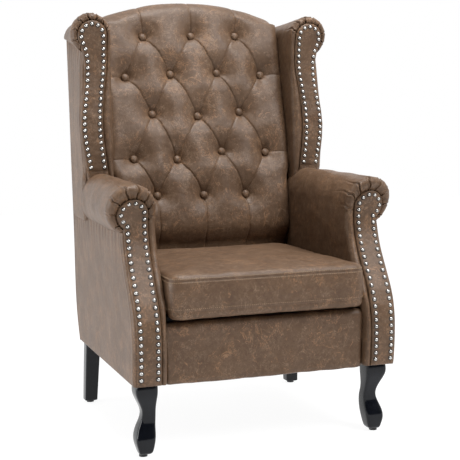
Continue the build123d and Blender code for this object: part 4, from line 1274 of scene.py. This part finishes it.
def leg_mesh(name, levels, side, squareness):
    """A leg through levels of a rounded square, each with its height, its middle and its half width."""
    rows, around = 90, 48
    table = np.array(sorted(levels), float)
    z = np.linspace(table[0, 0], table[-1, 0], rows)
    x, y, half = (smooth_line(np.stack([table[:, i], table[:, 0]], 1), z) for i in (1, 2, 3))
    # The foot and the top are eased in at their edges
    half = half * np.minimum(np.minimum(1, (z - z[0]) / (3 * mm) + 0.8), (z[-1] - z) / (2 * mm) + 0.93)
    angle = np.linspace(0, 2 * math.pi, around, endpoint=False) + math.pi / 4
    square = np.stack([np.cos(angle), np.sin(angle)])
    square = np.sign(square) * np.abs(square) ** (2 / squareness)
    grid = np.stack([side * (x[:, None] + half[:, None] * square[0]), y[:, None] + half[:, None] * square[1],
                     np.tile(z[:, None], (1, around))], -1)
    faces = grid_faces(rows, around, wrap=True)
    faces.append(list(range(around))[::-1])
    faces.append([(rows - 1) * around + j for j in range(around)])
    if side < 0:
        faces = [face[::-1] for face in faces]
    piece = new_object(name + "_shape", grid.reshape(-1, 3), faces, bpy.data.materials["black lacquer"])
    seat_piece(piece, [name])


def build_legs():
    """Cabriole front legs and raked square rear legs in black lacquer."""
    bottom = low("right_front_leg").z
    tall = frame_bottom_z - bottom
    front = [(bottom + up * tall, front_leg_x + out * front_leg_kick, front_leg_y + back * front_leg_kick,
              thick * front_leg_half) for up, thick, out, back in front_leg_shares]
    rear = [(bottom, 287 * mm, 245 * mm, 16.3 * mm), (bottom + 50 * mm, 285 * mm, 241.5 * mm, 17.2 * mm),
            (bottom + 110 * mm, 282.5 * mm, 237.5 * mm, 18.2 * mm),
            (frame_bottom_z, 280 * mm, 234.5 * mm, 19 * mm)]
    for side, sign in (("right", 1), ("left", -1)):
        leg_mesh(f"{side}_front_leg", front, sign, squareness=6.5)
        leg_mesh(f"{side}_rear_leg", rear, sign, squareness=9)


def dress_frame():
    """Gives the inner timber, springs, cloths and glides that stay shown a material of their own."""
    made = {
        "timber": plain_material("sawn beech", (0.34, 0.21, 0.11), (0.50, 0.34, 0.19), 0.62, 14,
                                 stretch=(1, 1, 0.12)),
        "glide": plain_material("black glide", (0.010, 0.010, 0.011), (0.018, 0.018, 0.019), 0.45, 90),
        "hessian": woven_material("jute", (0.25, 0.18, 0.10), (0.48, 0.37, 0.22), 1.6 * mm),
        "twine": plain_material("waxed twine", (0.42, 0.33, 0.20), (0.62, 0.52, 0.34), 0.7, 400),
        "spring_steel": plain_material("spring steel", (0.30, 0.31, 0.33), (0.52, 0.53, 0.55), 0.35, 120,
                                       metallic=1.0),
        "dust_cloth": bpy.data.materials["black cambric"],
        "leather": bpy.data.materials["aged leather"],
        "nails": bpy.data.materials["bright nickel"],
        "leg_finish": bpy.data.materials["black lacquer"],
    }
    for part in frame["record"]["subparts"]:
        materials = frame["nodes"][part["node"]].data.materials
        material = made[part["material_slot"]]
        for place in range(len(materials)):
            materials[place] = material
        if not len(materials):
            materials.append(material)


# The studio
def either_ray(nodes, links, path, rays):
    """One for the rays of any of these kinds."""
    found = path.outputs[rays[0]]
    for ray in rays[1:]:
        found = arithmetic(nodes, links, "MAXIMUM", found, path.outputs[ray])
    return found


def add_floor():
    """A pale floor that looks almost white to the camera and still takes the chair's shadow."""
    side, seen_white, background_share = 6.0, 1.10, 0.84
    mesh = bpy.data.meshes.new("studio_floor")
    corners = [(-side, -side, floor_z), (side, -side, floor_z), (side, side, floor_z), (-side, side, floor_z)]
    mesh.from_pydata(corners, [], [(0, 1, 2, 3)])
    floor = bpy.data.objects.new("studio_floor", mesh)
    bpy.context.scene.collection.objects.link(floor)
    material, nodes, links, shader = principled("studio floor", grey(0.92), 0.9, gloss=0.0)
    cloud = noise(nodes, links, nodes.new("ShaderNodeTexCoord").outputs["Object"], 1.5)
    links.new(ramp(nodes, links, cloud, [(0, grey(0.91)), (1, grey(0.93))]), shader.inputs["Base Color"])
    plain = nodes.new("ShaderNodeEmission")
    plain.inputs["Strength"].default_value = seen_white
    path, mixer = nodes.new("ShaderNodeLightPath"), nodes.new("ShaderNodeMixShader")
    seen = either_ray(nodes, links, path, ("Is Camera Ray", "Is Glossy Ray", "Is Transmission Ray"))
    links.new(arithmetic(nodes, links, "MULTIPLY", seen, background_share), mixer.inputs["Fac"])
    links.new(shader.outputs["BSDF"], mixer.inputs[1])
    links.new(plain.outputs["Emission"], mixer.inputs[2])
    links.new(mixer.outputs["Shader"], nodes["Material Output"].inputs["Surface"])
    mesh.materials.append(material)


def add_world():
    """A white background that lights the chair more softly from the front."""
    dimmed, full = 0.82, 1.0
    world = bpy.data.worlds.new("white studio")
    bpy.context.scene.world = world
    world.use_nodes = True
    nodes, links = world.node_tree.nodes, world.node_tree.links
    background = nodes["Background"]
    # Darker towards the front, so that bright metal and lacquer have something dark to mirror
    direction, facing = nodes.new("ShaderNodeTexCoord"), nodes.new("ShaderNodeVectorMath")
    facing.operation = "DOT_PRODUCT"
    facing.inputs[1].default_value = (-0.30, -0.95, 0.0)
    links.new(direction.outputs["Generated"], facing.inputs[0])
    shade = ramp(nodes, links, facing.outputs["Value"], [(0.0, grey(1)), (0.70, grey(0.03))])
    links.new(shade, background.inputs["Color"])
    shown = nodes.new("ShaderNodeBackground")
    shown.inputs["Color"].default_value = (1, 1, 1, 1)
    shown.inputs["Strength"].default_value = full
    path, mixer = nodes.new("ShaderNodeLightPath"), nodes.new("ShaderNodeMixShader")
    # Metal and glass see the background at its full strength
    mirrored = either_ray(nodes, links, path, ("Is Glossy Ray", "Is Transmission Ray"))
    strength = arithmetic(nodes, links, "MULTIPLY_ADD", mirrored, full - dimmed, dimmed)
    links.new(strength, background.inputs["Strength"])
    links.new(path.outputs["Is Camera Ray"], mixer.inputs["Fac"])
    links.new(background.outputs["Background"], mixer.inputs[1])
    links.new(shown.outputs["Background"], mixer.inputs[2])
    links.new(mixer.outputs["Shader"], nodes["World Output"].inputs["Surface"])


# Each softbox with its place, the point it faces, its size in metres and its power in watts
softboxes = (
    ("key_softbox", (1.3, -2.5, 2.9), (0, 0, 0.6), 1.5, 90),
    ("left_softbox", (-3.1, 0.3, 0.8), (-0.3, 0, 0.6), 1.4, 54),
    ("top_softbox", (0.1, -0.5, 3.3), (0, 0, 0.5), 1.6, 92),
)

# The camera that matches the reference view
sensor_width = 36
focal_pixels, picture_pixels = 1133.48, 460
camera_turn, camera_rise, camera_roll = math.radians(-19.5), math.radians(5.89), math.radians(-0.73)
camera_distance = 2.8084
camera_target = (0.0166, -0.0249, 0.4678)


def add_lamps():
    """The softboxes round the chair."""
    for name, place, aim, size, power in softboxes:
        light = bpy.data.lights.new(name, "AREA")
        light.shape, light.size, light.energy = "SQUARE", size, power
        lamp = bpy.data.objects.new(name, light)
        lamp.location = place
        lamp.rotation_euler = (Vector(aim) - Vector(place)).to_track_quat("-Z", "Y").to_euler()
        bpy.context.scene.collection.objects.link(lamp)


def add_camera():
    """The camera, aimed at the chair from its turn, rise, roll and distance."""
    camera = bpy.data.cameras.new("view_camera")
    camera.sensor_width, camera.lens = sensor_width, focal_pixels / picture_pixels * sensor_width
    camera.dof.use_dof = False
    eye = bpy.data.objects.new("view_camera", camera)
    level = math.cos(camera_rise)
    away = Vector((math.sin(camera_turn) * level, -math.cos(camera_turn) * level, math.sin(camera_rise)))
    flat_right = Vector((math.cos(camera_turn), math.sin(camera_turn), 0))
    flat_up = away.cross(flat_right)
    right = flat_right * math.cos(camera_roll) + flat_up * math.sin(camera_roll)
    up = flat_up * math.cos(camera_roll) - flat_right * math.sin(camera_roll)
    place = Matrix.Translation(Vector(camera_target) + away * camera_distance)
    eye.matrix_world = place @ Matrix((right, up, away)).transposed().to_4x4()
    bpy.context.scene.collection.objects.link(eye)
    bpy.context.scene.camera = eye


def build_stage():
    """A white studio with softboxes, a pale floor and the camera that matches the reference view."""
    bpy.context.scene.view_settings.view_transform = "Standard"
    add_floor()
    add_world()
    add_lamps()
    add_camera()


# Operators, in the order in which they run
class CHAIR_OT_finishes(bpy.types.Operator):
    """Makes the shared finishes before the pieces that use them"""

    bl_idname = "chair.finishes"
    bl_label = "Finishes"
    bl_options = {"REGISTER", "UNDO"}

    def execute(self, context):
        """Makes the finishes."""
        make_finishes()
        return {"FINISHED"}


class CHAIR_OT_inside_back(bpy.types.Operator):
    """Makes the tufted back and its buttons"""

    bl_idname = "chair.inside_back"
    bl_label = "Tufted back and buttons"
    bl_options = {"REGISTER", "UNDO"}

    def execute(self, context):
        """Makes the inside back."""
        build_inside_back()
        return {"FINISHED"}


class CHAIR_OT_arms(bpy.types.Operator):
    """Makes the inside arms with their scroll rolls"""

    bl_idname = "chair.arms"
    bl_label = "Arms"
    bl_options = {"REGISTER", "UNDO"}

    def execute(self, context):
        """Makes the arms."""
        build_arms()
        return {"FINISHED"}


class CHAIR_OT_wings(bpy.types.Operator):
    """Makes the inside wings with their rolls"""

    bl_idname = "chair.wings"
    bl_label = "Wings"
    bl_options = {"REGISTER", "UNDO"}

    def execute(self, context):
        """Makes the wings."""
        build_wings()
        return {"FINISHED"}


class CHAIR_OT_facings(bpy.types.Operator):
    """Makes the facings of the arms and wings with their nails"""

    bl_idname = "chair.facings"
    bl_label = "Facings and nails"
    bl_options = {"REGISTER", "UNDO"}

    def execute(self, context):
        """Makes the facings and nails."""
        build_facings()
        return {"FINISHED"}


class CHAIR_OT_outsides(bpy.types.Operator):
    """Makes the outside arms, outside wings and the outside back"""

    bl_idname = "chair.outsides"
    bl_label = "Outside covers"
    bl_options = {"REGISTER", "UNDO"}

    def execute(self, context):
        """Makes the outside covers."""
        build_outsides()
        return {"FINISHED"}


class CHAIR_OT_border(bpy.types.Operator):
    """Makes the padded strip under the cushion"""

    bl_idname = "chair.border"
    bl_label = "Front border"
    bl_options = {"REGISTER", "UNDO"}

    def execute(self, context):
        """Makes the border."""
        build_border()
        return {"FINISHED"}


class CHAIR_OT_deck(bpy.types.Operator):
    """Makes the lining cloth over the springs"""

    bl_idname = "chair.deck"
    bl_label = "Seat deck"
    bl_options = {"REGISTER", "UNDO"}

    def execute(self, context):
        """Makes the deck."""
        build_deck()
        return {"FINISHED"}


class CHAIR_OT_cushion(bpy.types.Operator):
    """Makes the loose seat cushion with its stitches"""

    bl_idname = "chair.cushion"
    bl_label = "Seat cushion"
    bl_options = {"REGISTER", "UNDO"}

    def execute(self, context):
        """Makes the cushion."""
        build_cushion()
        return {"FINISHED"}


class CHAIR_OT_legs(bpy.types.Operator):
    """Makes the carved front legs and the raked rear legs"""

    bl_idname = "chair.legs"
    bl_label = "Legs"
    bl_options = {"REGISTER", "UNDO"}

    def execute(self, context):
        """Makes the legs."""
        build_legs()
        return {"FINISHED"}


class CHAIR_OT_frame_parts(bpy.types.Operator):
    """Gives the inner parts that stay shown their materials"""

    bl_idname = "chair.frame_parts"
    bl_label = "Inner frame"
    bl_options = {"REGISTER", "UNDO"}

    def execute(self, context):
        """Dresses the inner frame."""
        dress_frame()
        return {"FINISHED"}


class CHAIR_OT_stage(bpy.types.Operator):
    """Makes the studio, its lamps and the camera"""

    bl_idname = "chair.stage"
    bl_label = "Studio and camera"
    bl_options = {"REGISTER", "UNDO"}

    def execute(self, context):
        """Makes the stage."""
        build_stage()
        return {"FINISHED"}


operators = (
    CHAIR_OT_finishes, CHAIR_OT_inside_back, CHAIR_OT_arms, CHAIR_OT_wings,
    CHAIR_OT_facings, CHAIR_OT_outsides, CHAIR_OT_border, CHAIR_OT_deck,
    CHAIR_OT_cushion, CHAIR_OT_legs, CHAIR_OT_frame_parts, CHAIR_OT_stage,
)


class CHAIR_PT_steps(bpy.types.Panel):
    """The chair's steps and sizes."""

    bl_label = "Tufted Wing Armchair"
    bl_idname = "CHAIR_PT_steps"
    bl_space_type = "VIEW_3D"
    bl_region_type = "UI"
    bl_category = "Armchair"

    def draw(self, context):
        """Lists the sizes, the finishes and the steps."""
        layout = self.layout
        for group in (context.scene.chair_sizes, context.scene.chair_finish):
            for name in group.__annotations__:
                layout.prop(group, name)
        for operator in operators:
            layout.operator(operator.bl_idname)


classes = (ChairSizes, ChairFinish, *operators, CHAIR_PT_steps)


def register():
    """Registers the add-on's classes and settings."""
    for item in classes:
        bpy.utils.register_class(item)
    bpy.types.Scene.chair_sizes = PointerProperty(type=ChairSizes)
    bpy.types.Scene.chair_finish = PointerProperty(type=ChairFinish)


def unregister():
    """Removes the add-on's classes and settings."""
    del bpy.types.Scene.chair_finish
    del bpy.types.Scene.chair_sizes
    for item in reversed(classes):
        bpy.utils.unregister_class(item)


def main():
    """Registers the add-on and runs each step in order."""
    register()
    for operator in operators:
        step = operator.bl_idname.split(".")[1]
        if getattr(bpy.ops.chair, step)() != {"FINISHED"}:
            raise RuntimeError(step)


if __name__ == "__main__":
    main()
